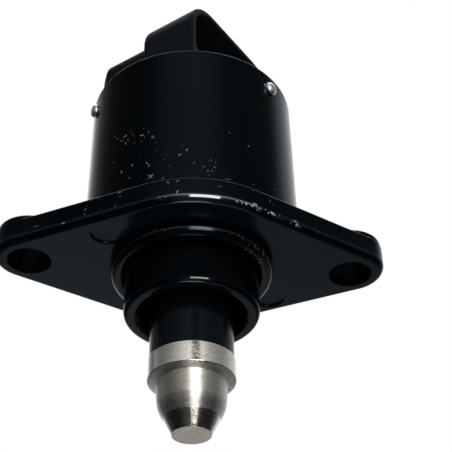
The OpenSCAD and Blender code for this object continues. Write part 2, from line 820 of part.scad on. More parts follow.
// Height of the spring's wire after a number of turns, with closed end turns
function coil_z(turn, low, high) =
    let (closed = spring_wire * 1.05, open = (high - low - 2 * closed) / (spring_turns - 2))
    turn < 1 ? low + turn * closed
    : turn > spring_turns - 1 ? high - (spring_turns - turn) * closed
    : low + closed + (turn - 1) * open;

// The coil spring between the guide bush and the nose's shoulder
module pintle_spring() {
    per_turn = 18;
    sides = 6;
    low = shoulder_z + spring_wire / 2 + 0.1;
    high = recess_floor - guide_flange_t - spring_wire / 2 - 0.1;
    rings = spring_turns * per_turn;
    points = [for (i = [0 : rings]) let (a = i * 360 / per_turn, z = coil_z(i / per_turn, low, high))
        for (k = [0 : sides - 1]) let (b = k * 360 / sides,
            r = spring_d / 2 + spring_wire / 2 * cos(b))
            [r * cos(a), r * sin(a), z + spring_wire / 2 * sin(b)]];
    wall = [for (i = [0 : rings - 1]) for (k = [0 : sides - 1])
        let (n = (k + 1) % sides, a = i * sides, b = (i + 1) * sides)
            each [[a + k, b + n, b + k], [a + k, a + n, b + n]]];
    caps = [[for (k = [sides - 1 : -1 : 0]) k], [for (k = [0 : sides - 1]) rings * sides + k]];
    color([0.66, 0.67, 0.69]) polyhedron(points, concat(wall, caps));
}

valve_body();
connector_cap();
for (i = [0 : 3]) terminal(i);
for (i = [0 : 2]) cap_pin(i);
body_o_ring();
cap_seal();
stator_cup(seat_z, 0);  // stator_cup_front
pole_plate(seat_z, 0, false);  // pole_plate_front
bobbin_front();
winding(seat_z);  // winding_front
stator_cup(seat_z + phase_h, phase_turn);  // stator_cup_rear
pole_plate(seat_z + phase_h, phase_turn, true);  // pole_plate_rear
bobbin_rear();
winding(seat_z + phase_h);  // winding_rear
rotor_magnet();
rotor_hub();
drive_nut();
rear_bush();
wave_washer();
bearing_outer_race();
bearing_inner_race();
bearing_cage();
for (i = [0 : 7]) bearing_ball(i);
guide_bush();
lead_screw();
pintle_sleeve();
pintle_tip();
pintle_spring();
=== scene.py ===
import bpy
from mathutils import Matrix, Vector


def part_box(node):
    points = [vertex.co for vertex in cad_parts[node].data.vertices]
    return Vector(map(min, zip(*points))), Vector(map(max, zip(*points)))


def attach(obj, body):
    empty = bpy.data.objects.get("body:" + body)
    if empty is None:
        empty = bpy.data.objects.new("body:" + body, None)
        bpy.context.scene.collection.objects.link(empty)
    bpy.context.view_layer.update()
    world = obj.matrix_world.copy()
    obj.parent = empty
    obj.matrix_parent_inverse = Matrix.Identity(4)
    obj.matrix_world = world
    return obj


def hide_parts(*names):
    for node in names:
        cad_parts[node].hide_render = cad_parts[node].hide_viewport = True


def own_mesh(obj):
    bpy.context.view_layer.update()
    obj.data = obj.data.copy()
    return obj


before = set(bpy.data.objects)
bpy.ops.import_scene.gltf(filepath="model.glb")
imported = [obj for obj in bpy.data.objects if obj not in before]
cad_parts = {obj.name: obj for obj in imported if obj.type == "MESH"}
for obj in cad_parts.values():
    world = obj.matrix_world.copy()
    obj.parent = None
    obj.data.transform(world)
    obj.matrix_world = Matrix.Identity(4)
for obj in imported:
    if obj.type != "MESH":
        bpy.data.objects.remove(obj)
"""An idle air control valve, finished for the studio.

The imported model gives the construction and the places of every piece. The classes below build finely
rounded surfaces over the pieces that show, in millimetres, and give every piece its finish.
"""

import logging
import math
from dataclasses import dataclass, field
from enum import Enum, IntEnum
from typing import Callable, Sequence

import bmesh
import bpy
import numpy as np
from mathutils import Matrix, Vector

MM = 0.001
DOUBLES = 1e-7
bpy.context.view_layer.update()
LOG = logging.getLogger("valve")
Triple = tuple[float, float, float]
Colour = Triple


class Join(Enum):
    """Ways to put one closed shape on another."""

    ADD = "UNION"
    CUT = "DIFFERENCE"


class Zone(IntEnum):
    """The zones of the casting, each with its own finish. The mounting face has a lighter copy of the enamel
    as painted light, and the bores a darker copy with little shine as painted shade.
    """

    CAN = 0
    SIDE = 1
    FACE = 2
    BORE = 3


class Body(Enum):
    """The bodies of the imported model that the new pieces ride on."""

    HOUSING = "housing"
    PINTLE = "pintle"


def span(node: str) -> tuple[np.ndarray, np.ndarray]:
    """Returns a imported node's lowest and highest corner, in millimetres.

    Args:
        node: the node's name.
    """
    low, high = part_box(node)
    return np.array(low) / MM, np.array(high) / MM


# Shapes: paths and outlines in two dimensions


def rounded(corners: Sequence[tuple[float, float, float]], steps: int = 6) -> np.ndarray:
    """Rounds the corners of a closed path.

    Each corner becomes an arc that touches both its sides: the arc's centre lies on the corner's
    half angle at radius / sin(half angle), and its start at radius / tan(half angle) from the corner.

    Args:
        corners: x, y and the radius of each corner, in order.
        steps: segments of an arc.

    Returns:
        The path's points as an (n, 2) array, without doubles.
    """
    data = np.array(corners, float)
    corner, radius = data[:, :2], data[:, 2]
    back = np.roll(corner, 1, 0) - corner
    ahead = np.roll(corner, -1, 0) - corner
    back /= np.linalg.norm(back, axis=1, keepdims=True)
    ahead /= np.linalg.norm(ahead, axis=1, keepdims=True)
    half = np.arccos(np.clip((back * ahead).sum(1), -1, 1)) / 2
    middle = back + ahead
    size = np.linalg.norm(middle, axis=1)
    radius = np.where(size < 1e-6, 0.0, radius)
    centre = corner + middle / np.maximum(size, 1e-6)[:, None] * (radius / np.sin(half))[:, None]
    start = corner + back * (radius / np.tan(half))[:, None] - centre
    side = np.sign(back[:, 1] * ahead[:, 0] - back[:, 0] * ahead[:, 1])
    turn = (side * (math.pi - 2 * half))[:, None] * np.linspace(0, 1, steps + 1)
    x = start[:, :1] * np.cos(turn) - start[:, 1:] * np.sin(turn)
    y = start[:, :1] * np.sin(turn) + start[:, 1:] * np.cos(turn)
    path = (np.stack([x, y], -1) + centre[:, None, :]).reshape(-1, 2)
    keep = np.linalg.norm(path - np.roll(path, 1, 0), axis=1) > 1e-5
    return path[keep]


def arc(centre: tuple[float, float], radius: float, start: float, end: float, steps: int) -> np.ndarray:
    """Returns points on a circle between two angles, given in degrees."""
    angle = np.radians(np.linspace(start, end, steps + 1))
    return np.column_stack([centre[0] + radius * np.cos(angle), centre[1] + radius * np.sin(angle)])


def around(radius: float, azimuth: float, height: float) -> Triple:
    """Returns a point at a distance from the axis, its azimuth in degrees from the front towards +X."""
    a = math.radians(azimuth)
    return radius * math.sin(a), -radius * math.cos(a), height


def edge_levels(low: float, high: float, low_edge: float, high_edge: float, steps: int = 5) -> np.ndarray:
    """Gives the insets of a slab whose two rims are rounded.

    A rim of radius r has inset r (1 - sin a) at the height r (1 - cos a) from the face, for a from 0
    to a right angle. A negative radius flares the rim outwards by the same curve.

    Args:
        low: height of the lower face.
        high: height of the upper face.
        low_edge: radius of the lower rim.
        high_edge: radius of the upper rim.
        steps: segments of a quarter round.

    Returns:
        Rows of inset and height, from the lower face up.
    """
    angle = np.linspace(0, math.pi / 2, steps + 1)
    inset, rise = 1 - np.sin(angle), 1 - np.cos(angle)
    lower = np.column_stack([low_edge * inset, low + abs(low_edge) * rise])
    upper = np.column_stack([high_edge * inset, high - abs(high_edge) * rise])[::-1]
    return np.vstack([lower, upper])


# Surfaces in three dimensions


@dataclass
class Surface:
    """Points and faces of a mesh, in millimetres.

    Attributes:
        points: an (n, 3) array.
        faces: lists of point numbers, one for each face.
    """

    points: np.ndarray
    faces: list[list[int]]

    def turned(self, degrees: float) -> "Surface":
        """Returns the surface turned about the Z axis."""
        return self.placed(Matrix.Rotation(math.radians(degrees), 4, "Z"))

    def placed(self, matrix: Matrix) -> "Surface":
        """Returns the surface moved by a 4 by 4 matrix in millimetres."""
        m = np.array(matrix)
        return Surface(self.points @ m[:3, :3].T + m[:3, 3], self.faces)


def quads(rows: int, columns: int, ring_rows: bool, ring_columns: bool) -> list[list[int]]:
    """Returns the faces between neighbouring points of a grid, closed into a ring where asked.

    Args:
        rows: points along the first direction.
        columns: points along the second direction.
        ring_rows: whether the last row joins the first.
        ring_columns: whether the last column joins the first.

    Returns:
        Four point numbers for each face.
    """
    row_starts = np.arange(rows if ring_rows else rows - 1)
    column_starts = np.arange(columns if ring_columns else columns - 1)
    i, j = np.meshgrid(row_starts, column_starts, indexing="ij")
    i2, j2 = (i + 1) % rows, (j + 1) % columns
    corners = [i * columns + j, i * columns + j2, i2 * columns + j2, i2 * columns + j]
    return np.stack(corners, -1).reshape(-1, 4).tolist()


def lathe(path: np.ndarray, steps: int = 128) -> Surface:
    """Turns a closed path of (radius, height) round the Z axis.

    Point (i, j) is the path's point i at the angle j: (r cos, r sin, z). A path that runs along the
    axis closes itself there when the doubles are merged.

    Args:
        path: an (n, 2) array of radius and height.
        steps: segments of the full turn.

    Returns:
        The surface.
    """
    angle = np.linspace(0, 2 * math.pi, steps, endpoint=False)
    r, z = path[:, :1], path[:, 1:]
    points = np.stack([r * np.cos(angle), r * np.sin(angle), z + 0 * angle], -1).reshape(-1, 3)
    return Surface(points, quads(len(path), steps, True, True))


def stack(outline: Callable[[float], np.ndarray], levels: np.ndarray) -> Surface:
    """Builds a solid from outlines laid one over another.

    Level k is the outline with that level's inset, at that level's height. The first and the last
    are closed by flat faces.

    Args:
        outline: gives the (n, 2) outline for an inset, always with the same count of points.
        levels: rows of inset and height.

    Returns:
        The closed surface.
    """
    rings = [np.insert(outline(inset), 2, height, axis=1) for inset, height in levels]
    count = len(rings[0])
    last = (len(rings) - 1) * count
    faces = quads(len(rings), count, False, True)
    faces += [list(range(count))[::-1], list(range(last, last + count))]
    return Surface(np.vstack(rings), faces)


def upright(shape: Surface) -> Surface:
    """Stands a stack up: its outline (x, y) becomes (x, z), and its height runs towards the front, -Y."""
    x, y, h = shape.points.T
    return Surface(np.column_stack([x, -h, y]), shape.faces)


def sideways(shape: Surface) -> Surface:
    """Lays a stack on its side: its outline (x, y) becomes (y, z), and its height runs along X."""
    a, b, h = shape.points.T
    return Surface(np.column_stack([h, a, b]), shape.faces)


def tube_along(path: np.ndarray, radius: float, sides: int) -> Surface:
    """Carries a circle along an open path.

    The circle's two directions are the path's normal in the XY plane's sense and the cross of the
    tangent with it, so that the tube doesn't twist on a helix. Both ends are closed.

    Args:
        path: an (n, 3) array.
        radius: the tube's radius.
        sides: points of the circle.

    Returns:
        The closed surface.
    """
    tangent = np.gradient(path, axis=0)
    tangent /= np.linalg.norm(tangent, axis=1, keepdims=True)
    outward = path * np.array([1.0, 1.0, 0.0])
    outward -= (outward * tangent).sum(1, keepdims=True) * tangent
    outward /= np.linalg.norm(outward, axis=1, keepdims=True)
    third = np.cross(tangent, outward)
    angle = np.linspace(0, 2 * math.pi, sides, endpoint=False)[None, :, None]
    ring = outward[:, None, :] * np.cos(angle) + third[:, None, :] * np.sin(angle)
    points = (path[:, None, :] + radius * ring).reshape(-1, 3)
    last = (len(path) - 1) * sides
    faces = quads(len(path), sides, False, True)
    faces += [list(range(sides))[::-1], list(range(last, last + sides))]
    return Surface(points, faces)


def solid(name: str, shape: Surface) -> bpy.types.Object:
    """Makes a mesh object of a closed surface, with doubles merged and faces pointing outwards.

    Args:
        name: the object's name.
        shape: the surface, in millimetres.

    Returns:
        The object, in metres and linked to the scene.
    """
    mesh = bpy.data.meshes.new(name)
    mesh.from_pydata((shape.points * MM).tolist(), [], shape.faces)
    work = bmesh.new()
    work.from_mesh(mesh)
    bmesh.ops.remove_doubles(work, verts=work.verts, dist=DOUBLES)
    bmesh.ops.dissolve_degenerate(work, dist=DOUBLES / 10, edges=work.edges)
    bmesh.ops.recalc_face_normals(work, faces=work.faces)
    work.to_mesh(mesh)
    work.free()
    made = bpy.data.objects.new(name, mesh)
    bpy.context.scene.collection.objects.link(made)
    return made


def settled(piece: bpy.types.Object) -> bpy.types.Object:
    """Applies a piece's modifiers to its mesh.

    Args:
        piece: the piece that changes.

    Returns:
        The same piece, with no modifiers left.
    """
    graph = bpy.context.evaluated_depsgraph_get()
    mesh = bpy.data.meshes.new_from_object(piece.evaluated_get(graph))
    piece.modifiers.clear()
    piece.data = mesh
    return piece


def joined(piece: bpy.types.Object, tool: Surface, way: Join) -> bpy.types.Object:
    """Adds a closed shape to a piece, or cuts it out.

    Args:
        piece: the piece that changes.
        tool: the shape.
        way: add or cut.

    Returns:
        The same piece.
    """
    helper = solid("tool", tool)
    cut = piece.modifiers.new("join", "BOOLEAN")
    cut.operation, cut.object, cut.solver = way.value, helper, "EXACT"
    settled(piece)
    bpy.data.objects.remove(helper)
    return piece


def smoothed(piece: bpy.types.Object, angle: float = 32.0, bevel: float = 0.0) -> bpy.types.Object:
    """Shades a piece smooth, apart from edges sharper than an angle.

    Args:
        piece: the piece.
        angle: the angle in degrees.
        bevel: width in millimetres of a small rounding on sharp edges, or 0 for none.

    Returns:
        The same piece.
    """
    if bevel:
        round_edges = piece.modifiers.new("edges", "BEVEL")
        round_edges.width, round_edges.segments = bevel * MM, 3
        round_edges.limit_method, round_edges.angle_limit = "ANGLE", math.radians(angle)
        settled(piece)
    piece.data.polygons.foreach_set("use_smooth", np.ones(len(piece.data.polygons), bool))
    piece.data.set_sharp_from_angle(angle=math.radians(angle))
    weigh = piece.modifiers.new("normals", "WEIGHTED_NORMAL")
    weigh.keep_sharp, weigh.weight = True, 80
    return settled(piece)


def face_table(piece: bpy.types.Object) -> tuple[np.ndarray, np.ndarray]:
    """Reads where a piece's faces lie and where they point.

    Args:
        piece: the piece.

    Returns:
        The middles in millimetres and the normals, as two (n, 3) arrays.
    """
    count = len(piece.data.polygons)
    middle, normal = np.empty(count * 3), np.empty(count * 3)
    piece.data.polygons.foreach_get("center", middle)
    piece.data.polygons.foreach_get("normal", normal)
    return middle.reshape(-1, 3) / MM, normal.reshape(-1, 3)


def dressed(piece: bpy.types.Object, *finishes: bpy.types.Material, kind: np.ndarray | None = None) -> None:
    """Gives a piece its materials.

    Args:
        piece: the piece.
        *finishes: its materials.
        kind: the number of each face's material, or None where there is only one.
    """
    piece.data.materials.clear()
    for finish in finishes:
        piece.data.materials.append(finish)
    if kind is not None:
        piece.data.polygons.foreach_set("material_index", kind.astype(np.int32))


# Shader graphs


class Value:
    """A number that a shader works out. Arithmetic on it adds Math nodes."""

    def __init__(self, graph: "Graph", socket: bpy.types.NodeSocket) -> None:
        """Wraps an output socket of a graph."""
        self.graph = graph
        self.socket = socket

    def math(self, operation: str, *others: "Value | float") -> "Value":
        """Returns the result of a Math node on this value and others."""
        return self.graph.value("ShaderNodeMath", {"operation": operation}, self, *others)

    def __add__(self, other: "Value | float") -> "Value":
        """Returns self + other."""
        return self.math("ADD", other)

    def __sub__(self, other: "Value | float") -> "Value":
        """Returns self - other."""
        return self.math("SUBTRACT", other)

    def __rsub__(self, other: "Value | float") -> "Value":
        """Returns other - self."""
        return self.graph.value("ShaderNodeMath", {"operation": "SUBTRACT"}, other, self)

    def __mul__(self, other: "Value | float") -> "Value":
        """Returns self * other."""
        return self.math("MULTIPLY", other)

    def __truediv__(self, other: "Value | float") -> "Value":
        """Returns self / other."""
        return self.math("DIVIDE", other)

    __radd__ = __add__
    __rmul__ = __mul__

    def __abs__(self) -> "Value":
        """Returns the value without its sign."""
        return self.math("ABSOLUTE")

    def top(self, other: "Value | float") -> "Value":
        """Returns the larger of two values."""
        return self.math("MAXIMUM", other)

    def least(self, other: "Value | float") -> "Value":
        """Returns the smaller of two values."""
        return self.math("MINIMUM", other)

    def step(self, low: float, high: float) -> "Value":
        """Makes a smooth step. High may be the lower one of the two limits.

        Args:
            low: the value up to which the result is 0.
            high: the value from which it is 1.

        Returns:
            A value from 0 to 1.
        """
        settings = {"interpolation_type": "SMOOTHSTEP"}
        if low <= high:
            return self.graph.value("ShaderNodeMapRange", settings, self, low, high, 0.0, 1.0)
        return self.graph.value("ShaderNodeMapRange", settings, self, high, low, 1.0, 0.0)


Link = Value | float | Sequence[float] | bpy.types.NodeSocket


class Graph:
    """The nodes of one material or world."""

    def __init__(self, tree: bpy.types.NodeTree) -> None:
        """Starts with an empty tree."""
        self.tree = tree
        tree.nodes.clear()

    def node(self, kind: str, settings: dict[str, object] | None = None, *inputs: Link,
             **named: Link) -> bpy.types.Node:
        """Adds a node.

        Args:
            kind: the node's type.
            settings: properties of the node, set before its sockets. Stops are a ramp's (place, colour) rows.
            *inputs: values or links of its sockets in their order.
            **named: values or links of its sockets by name, with _ for a space.

        Returns:
            The node.
        """
        made = self.tree.nodes.new(kind)
        for name, value in (settings or {}).items():
            if name == "stops":
                self._stops(made.color_ramp, value)
            else:
                setattr(made, name, value)
        slots = [*enumerate(inputs), *((name.replace("_", " "), value) for name, value in named.items())]
        for key, value in slots:
            self._feed(made.inputs[key], value)
        return made

    def _stops(self, ramp: bpy.types.ColorRamp, stops: Sequence[tuple[float, Colour]]) -> None:
        """Gives a ramp its colours.

        Args:
            ramp: the ramp.
            stops: the place from 0 to 1 and the colour of each stop.
        """
        while len(ramp.elements) < len(stops):
            ramp.elements.new(1.0)
        for element, (place, colour) in zip(ramp.elements, stops):
            element.position, element.color = place, (*colour, 1.0)

    def _feed(self, socket: bpy.types.NodeSocket, value: Link) -> None:
        """Links or sets one input.

        Args:
            socket: the input.
            value: what it gets.
        """
        if isinstance(value, Value):
            value = value.socket
        if isinstance(value, bpy.types.NodeSocket):
            self.tree.links.new(value, socket)
        elif isinstance(value, (tuple, list)) and len(value) == 3 and len(socket.default_value) == 4:
            socket.default_value = (*value, 1.0)
        else:
            socket.default_value = value

    def value(self, kind: str, settings: dict[str, object] | None, *inputs: Link, **named: Link) -> Value:
        """Adds a node and returns its first output as a value."""
        return Value(self, self.node(kind, settings, *inputs, **named).outputs[0])

    def vector(self, operation: str, *inputs: Link) -> bpy.types.NodeSocket:
        """Returns the vector that a Vector Math node works out."""
        return self.node("ShaderNodeVectorMath", {"operation": operation}, *inputs).outputs["Vector"]

    def measure(self, operation: str, *inputs: Link) -> Value:
        """Returns the number that a Vector Math node works out, such as a length."""
        made = self.node("ShaderNodeVectorMath", {"operation": operation}, *inputs)
        return Value(self, made.outputs["Value"])

    def place(self, size: float = 1.0, stretch: Triple = (1.0, 1.0, 1.0),
              turn: Triple = (0.0, 0.0, 0.0)) -> bpy.types.NodeSocket:
        """Makes the place on the piece, scaled and turned.

        Args:
            size: the length in millimetres that counts as one.
            stretch: scale of the three axes, below 1 for what is drawn out along one.
            turn: turn of the axes in degrees.

        Returns:
            The place as a vector.
        """
        coords = self.node("ShaderNodeTexCoord").outputs["Object"]
        spin = tuple(math.radians(t) for t in turn)
        scale = tuple(s / (size * MM) for s in stretch)
        return self.node("ShaderNodeMapping", None, coords, Rotation=spin, Scale=scale).outputs[0]

    def axes(self) -> tuple[Value, Value, Value]:
        """Returns the place on the piece as three numbers in millimetres."""
        parts = self.node("ShaderNodeSeparateXYZ", None, self.place())
        return tuple(Value(self, out) for out in parts.outputs)

    def noise(self, size: float, detail: float = 3.0, rough: float = 0.55,
              stretch: Triple = (1.0, 1.0, 1.0)) -> Value:
        """Returns a cloudy pattern whose blotches have about a given size in millimetres."""
        place = self.place(size, stretch)
        return self.value("ShaderNodeTexNoise", None, Vector=place, Scale=1.0, Detail=detail, Roughness=rough)

    def flecks(self, size: float, share: float, width: float, stretch: Triple = (1.0, 1.0, 1.0),
               turn: Triple = (0.0, 0.0, 0.0)) -> Value:
        """Scatters small marks: the middles of some Voronoi cells, with ragged outlines.

        Args:
            size: distance between the cells' middles in millimetres.
            share: how many of the cells hold a mark, from 0 to 1.
            width: the mark's radius as a share of the cell's size.
            stretch: scale of the three axes, below 1 along the mark.
            turn: turn of the pattern in degrees.

        Returns:
            A mask from 0 to 1.
        """
        place = self.place(size, stretch, turn)
        ragged = self.node("ShaderNodeTexNoise", None, Vector=place, Scale=2.6, Detail=2.0).outputs["Color"]
        bent = self.vector("MULTIPLY_ADD", ragged, (0.7, 0.7, 0.7), place)
        cells = self.node("ShaderNodeTexVoronoi", {"feature": "F1"}, Vector=bent, Scale=1.0)
        draw = self.node("ShaderNodeSeparateColor", None, cells.outputs["Color"])
        chosen = Value(self, draw.outputs[0]).step(1 - share - 0.02, 1 - share + 0.02)
        return Value(self, cells.outputs["Distance"]).step(width, width * 0.6) * chosen

    def near(self, spots: Sequence[tuple[Triple, float]]) -> Value:
        """Makes a soft mask that is 1 at some places and 0 past each one's reach.

        Args:
            spots: the places and their reach, in millimetres.

        Returns:
            A mask from 0 to 1.
        """
        place = self.place()
        total = None
        for spot, reach in spots:
            mask = self.measure("DISTANCE", place, spot).step(reach, reach * 0.3)
            total = mask if total is None else total.top(mask)
        return total

    def strokes(self, rows: Sequence[tuple[Triple, Triple, Triple, float]]) -> Value:
        """Makes small ragged strokes: long flat ellipsoids, in coordinates bent by a noise.

        Args:
            rows: the middle in millimetres, the turns in degrees, the half sizes and the strength of
                each stroke.

        Returns:
            A mask from 0 to 1.
        """
        place = self.place()
        wavy = self.node("ShaderNodeTexNoise", None, Vector=place, Scale=1.7, Detail=4.0).outputs["Color"]
        bent = self.vector("ADD", place, self.vector("MULTIPLY_ADD", wavy, (0.8,) * 3, (-0.4,) * 3))
        total = None
        for middle, turn, half, strength in rows:
            spin = tuple(math.radians(t) for t in turn)
            local = self.node("ShaderNodeMapping", {"vector_type": "TEXTURE"}, bent, middle, spin, half)
            mask = self.measure("LENGTH", local.outputs[0]).step(1.0, 0.5) * strength
            total = mask if total is None else total.top(mask)
        return total * self.noise(0.3, 2).step(0.36, 0.5)

    def blend(self, share: Value | float, first: Link, second: Link) -> bpy.types.NodeSocket:
        """Mixes two colours.

        Args:
            share: how much of the second one there is, from 0 to 1.
            first: the colour at 0.
            second: the colour at 1.

        Returns:
            The mixed colour's socket.
        """
        mix = self.node("ShaderNodeMix", {"data_type": "RGBA", "clamp_factor": True})
        for key, value in ((0, share), (6, first), (7, second)):
            self._feed(mix.inputs[key], value)
        return mix.outputs[2]

    def relief(self, height: Value, depth: float, strength: float = 1.0) -> bpy.types.NodeSocket:
        """Returns a normal bent by a height pattern of a given depth in millimetres."""
        bump = self.node("ShaderNodeBump", None, Strength=strength, Distance=depth * MM, Height=height)
        return bump.outputs[0]

    def finish(self, **inputs: Link) -> None:
        """Ends a material with a Principled shader."""
        shader = self.node("ShaderNodeBsdfPrincipled", None, **inputs)
        self.node("ShaderNodeOutputMaterial", None, shader.outputs[0])


def shade(colour: Colour, factor: float, lift: float = 0.0) -> Colour:
    """Returns a colour made darker or lighter by a factor and a lift, up to white."""
    return tuple(min(1.0, factor * c + lift) for c in colour)


def new_material(name: str) -> tuple[bpy.types.Material, Graph]:
    """Makes an empty material and its graph.

    Args:
        name: the material's name.

    Returns:
        The material and its graph.
    """
    made = bpy.data.materials.new(name)
    made.use_nodes = True
    return made, Graph(made.node_tree)


# The flange's sizes, which its finish needs too


@dataclass
class FlangeSizes:
    """Sizes of the diamond flange, in millimetres.

    Attributes:
        ear_x: distance of a hole from the axis.
        ear_r: radius of the round ear.
        middle_r: radius of the flange's middle.
        thick: thickness.
        edge: rounding of the top rim.
        low_edge: rounding of the rim at the mounting face.
        hole_r: radius of a fixing hole.
        ear_rise: height of the ear's raised face.
        ear_step: how far the raised face stands back from the outline.
    """

    ear_x: float = 25.0
    ear_r: float = 5.35
    middle_r: float = 17.3
    thick: float = 4.0
    edge: float = 0.2
    low_edge: float = 1.1
    hole_r: float = 3.2
    ear_rise: float = 1.2
    ear_step: float = 0.15

    def slope(self) -> tuple[float, float]:
        """Returns the sine and the cosine of the angle by which a straight side leans."""
        sine = (self.middle_r - self.ear_r) / self.ear_x
        return sine, math.sqrt(1 - sine * sine)

    def reach(self, azimuth: float) -> float:
        """Returns how far the outline lies from the axis: the middle's arc, then a straight side.

        Args:
            azimuth: the direction in degrees, from the front.
        """
        past = abs(azimuth) - math.degrees(math.asin(self.slope()[0]))
        return self.middle_r / math.cos(math.radians(max(0.0, past)))

    def points(self, rows: Sequence[Triple]) -> list[tuple[Triple, float]]:
        """Returns (azimuth, height, reach) rows as points of the flange's side with their reach."""
        return [(around(self.reach(a), a, height), reach) for a, height, reach in rows]

    def low_rim(self, g: Graph) -> Value:
        """Marks the rounding between the flange's side and its mounting face.

        Args:
            g: the material's graph.

        Returns:
            A mask from 0 to 1.
        """
        x, y, z = g.axes()
        sine, cosine = self.slope()
        out = (abs(x) * sine + abs(y) * cosine - self.middle_r).step(-0.5, -0.3)
        return out * z.step(self.low_edge + 0.15, self.low_edge - 0.2) * z.step(0.0, 0.04)

    def outline(self, inset: float) -> np.ndarray:
        """Makes the diamond's outline: four arcs, joined by their common tangents.

        The tangents leave each arc at the angle whose sine is the radii's difference over the
        distance between the centres.

        Args:
            inset: how far the outline is drawn in.

        Returns:
            The outline's points as an (n, 2) array.
        """
        lean = math.degrees(math.asin(self.slope()[0]))
        big, small = self.middle_r - inset, self.ear_r - inset
        right = arc((self.ear_x, 0), small, lean - 90, 90 - lean, 24)
        top = arc((0, 0), big, 90 - lean, 90 + lean, 40)
        return np.vstack([right, top, right * -1, top * -1])


# Finishes


@dataclass(frozen=True)
class Nick:
    """A short stroke where the enamel is gone.

    Attributes:
        azimuth: its place round the axis in degrees, from the front towards +X.
        height: its height in millimetres.
        length: its length in millimetres.
        lean: how far its right end points up, in degrees.
        shade: how bare it is, from 0 to 1.
        width: its width in millimetres.
    """

    azimuth: float
    height: float
    length: float
    lean: float
    shade: float = 0.6
    width: float = 0.17

    def row(self, radius: float) -> tuple[Triple, Triple, Triple, float]:
        """Returns the stroke as a row for the shader, at a distance from the axis."""
        middle = around(radius, self.azimuth, self.height)
        return middle, (0.0, -self.lean, self.azimuth), (self.length / 2, 1.2, self.width / 2), self.shade


@dataclass(frozen=True)
class Enamel:
    """Black stoving enamel on a die casting, chipped and scuffed where it was handled.

    Attributes:
        paint: the paint's colour.
        metal: the bare metal in a chip.
        sheen: tint of what the paint mirrors. Its blue is a painted reflection colour that stands in for
            bluish light.
        gloss: how rough the paint is.
        shine: how strongly the paint mirrors.
        can_r: the can's mean radius.
        nicks: the strokes where it is gone, on the can or on the flange's side.
        crowds: places of the can where fine nicks crowd, as (azimuth, height, reach).
        worn: places of the flange's low rim that are rubbed bare, as (azimuth, height, reach).
        brushed: places of the flange's side with fine scratches, in the same way.
        polished: a place, its reach and the height below which the rim there is rubbed glossy, or None.
    """

    paint: Colour = (0.0008, 0.0019, 0.0027)
    metal: Colour = (0.72, 0.73, 0.74)
    # The blue sheen is a painted reflection colour that stands in for bluish light.
    sheen: Colour = (0.62, 0.86, 1.0)
    gloss: float = 0.15
    shine: float = 0.34
    can_r: float = 16.85
    nicks: tuple[Nick, ...] = ()
    crowds: tuple[Triple, ...] = ()
    worn: tuple[Triple, ...] = ()
    brushed: tuple[Triple, ...] = ()
    polished: tuple[Triple, float, float] | None = None

    def can_bare(self, g: Graph) -> Value:
        """Works out how bare the can is: the nicks, and fine flecks where they crowd.

        Args:
            g: the material's graph.

        Returns:
            A value from 0 to 1.
        """
        crowd = g.near([(around(self.can_r, a, z), reach) for a, z, reach in self.crowds])
        fine = g.flecks(0.55, 0.3, 0.22, (1.0, 1.0, 0.6), (20, 40, 0)) * crowd * 0.45
        return g.strokes([nick.row(self.can_r) for nick in self.nicks]).top(fine)

    def flange_bare(self, g: Graph, flange: FlangeSizes) -> Value:
        """Works out how bare the flange's side is: the nicks, the rubbed low rim and the fine scratches.

        Args:
            g: the material's graph.
            flange: the flange's sizes.

        Returns:
            A value from 0 to 1.
        """
        rows = [nick.row(flange.reach(nick.azimuth)) for nick in self.nicks]
        ragged = g.noise(0.5, 3, 0.7).step(0.54, 0.6) * 0.8
        z = g.axes()[2]
        line = z.step(flange.low_edge + 0.05, flange.low_edge - 0.1) * z.step(0.35, 0.5)
        rubbed = flange.low_rim(g) * line * ragged * g.near(flange.points(self.worn))
        lines = g.flecks(0.5, 0.5, 0.2, (1.0, 1.0, 0.4), (0, 35, 0)) * 0.5
        scratched = lines * g.near(flange.points(self.brushed)) * g.noise(1.5, 2).step(0.42, 0.6)
        return g.strokes(rows).top(rubbed).top(scratched)

    def material(self, name: str, flange: FlangeSizes | None = None) -> bpy.types.Material:
        """Makes the material.

        Args:
            name: the material's name.
            flange: the flange's sizes, for the enamel of its side.

        Returns:
            The material.
        """
        made, g = new_material(name)
        cloud, peel = g.noise(6.0, 3), g.noise(0.55, 2)
        streak = g.noise(0.9, 3, 0.6, (1.0, 1.0, 0.22))
        strays = g.flecks(0.9, 0.03, 0.13, (1.0, 1.0, 0.45), (18, 30, 0))
        bare = strays * g.noise(5.0, 2).step(0.58, 0.68) * 0.35
        if flange is not None:
            bare = bare.top(self.flange_bare(g, flange))
        elif self.crowds:
            bare = bare.top(self.can_bare(g))
        colour = g.blend(cloud, shade(self.paint, 0.8), shade(self.paint, 1.3))
        coat = 0.0
        if self.polished:
            spot, reach, top = self.polished
            coat = g.near([(spot, reach)]) * g.axes()[2].step(top + 0.15, top - 0.15)
        g.finish(Base_Color=g.blend(bare, colour, self.metal), Metallic=bare * 0.5,
                 Coat_Weight=coat, Coat_Roughness=0.06, Coat_IOR=2.2,
                 Roughness=cloud * 0.06 + streak * 0.1 + bare * 0.25 + (self.gloss - 0.08),
                 Specular_IOR_Level=self.shine, Specular_Tint=self.sheen,
                 Normal=g.relief(peel * 0.3 + streak * 0.25 - bare, 0.02, 0.5))
        return made


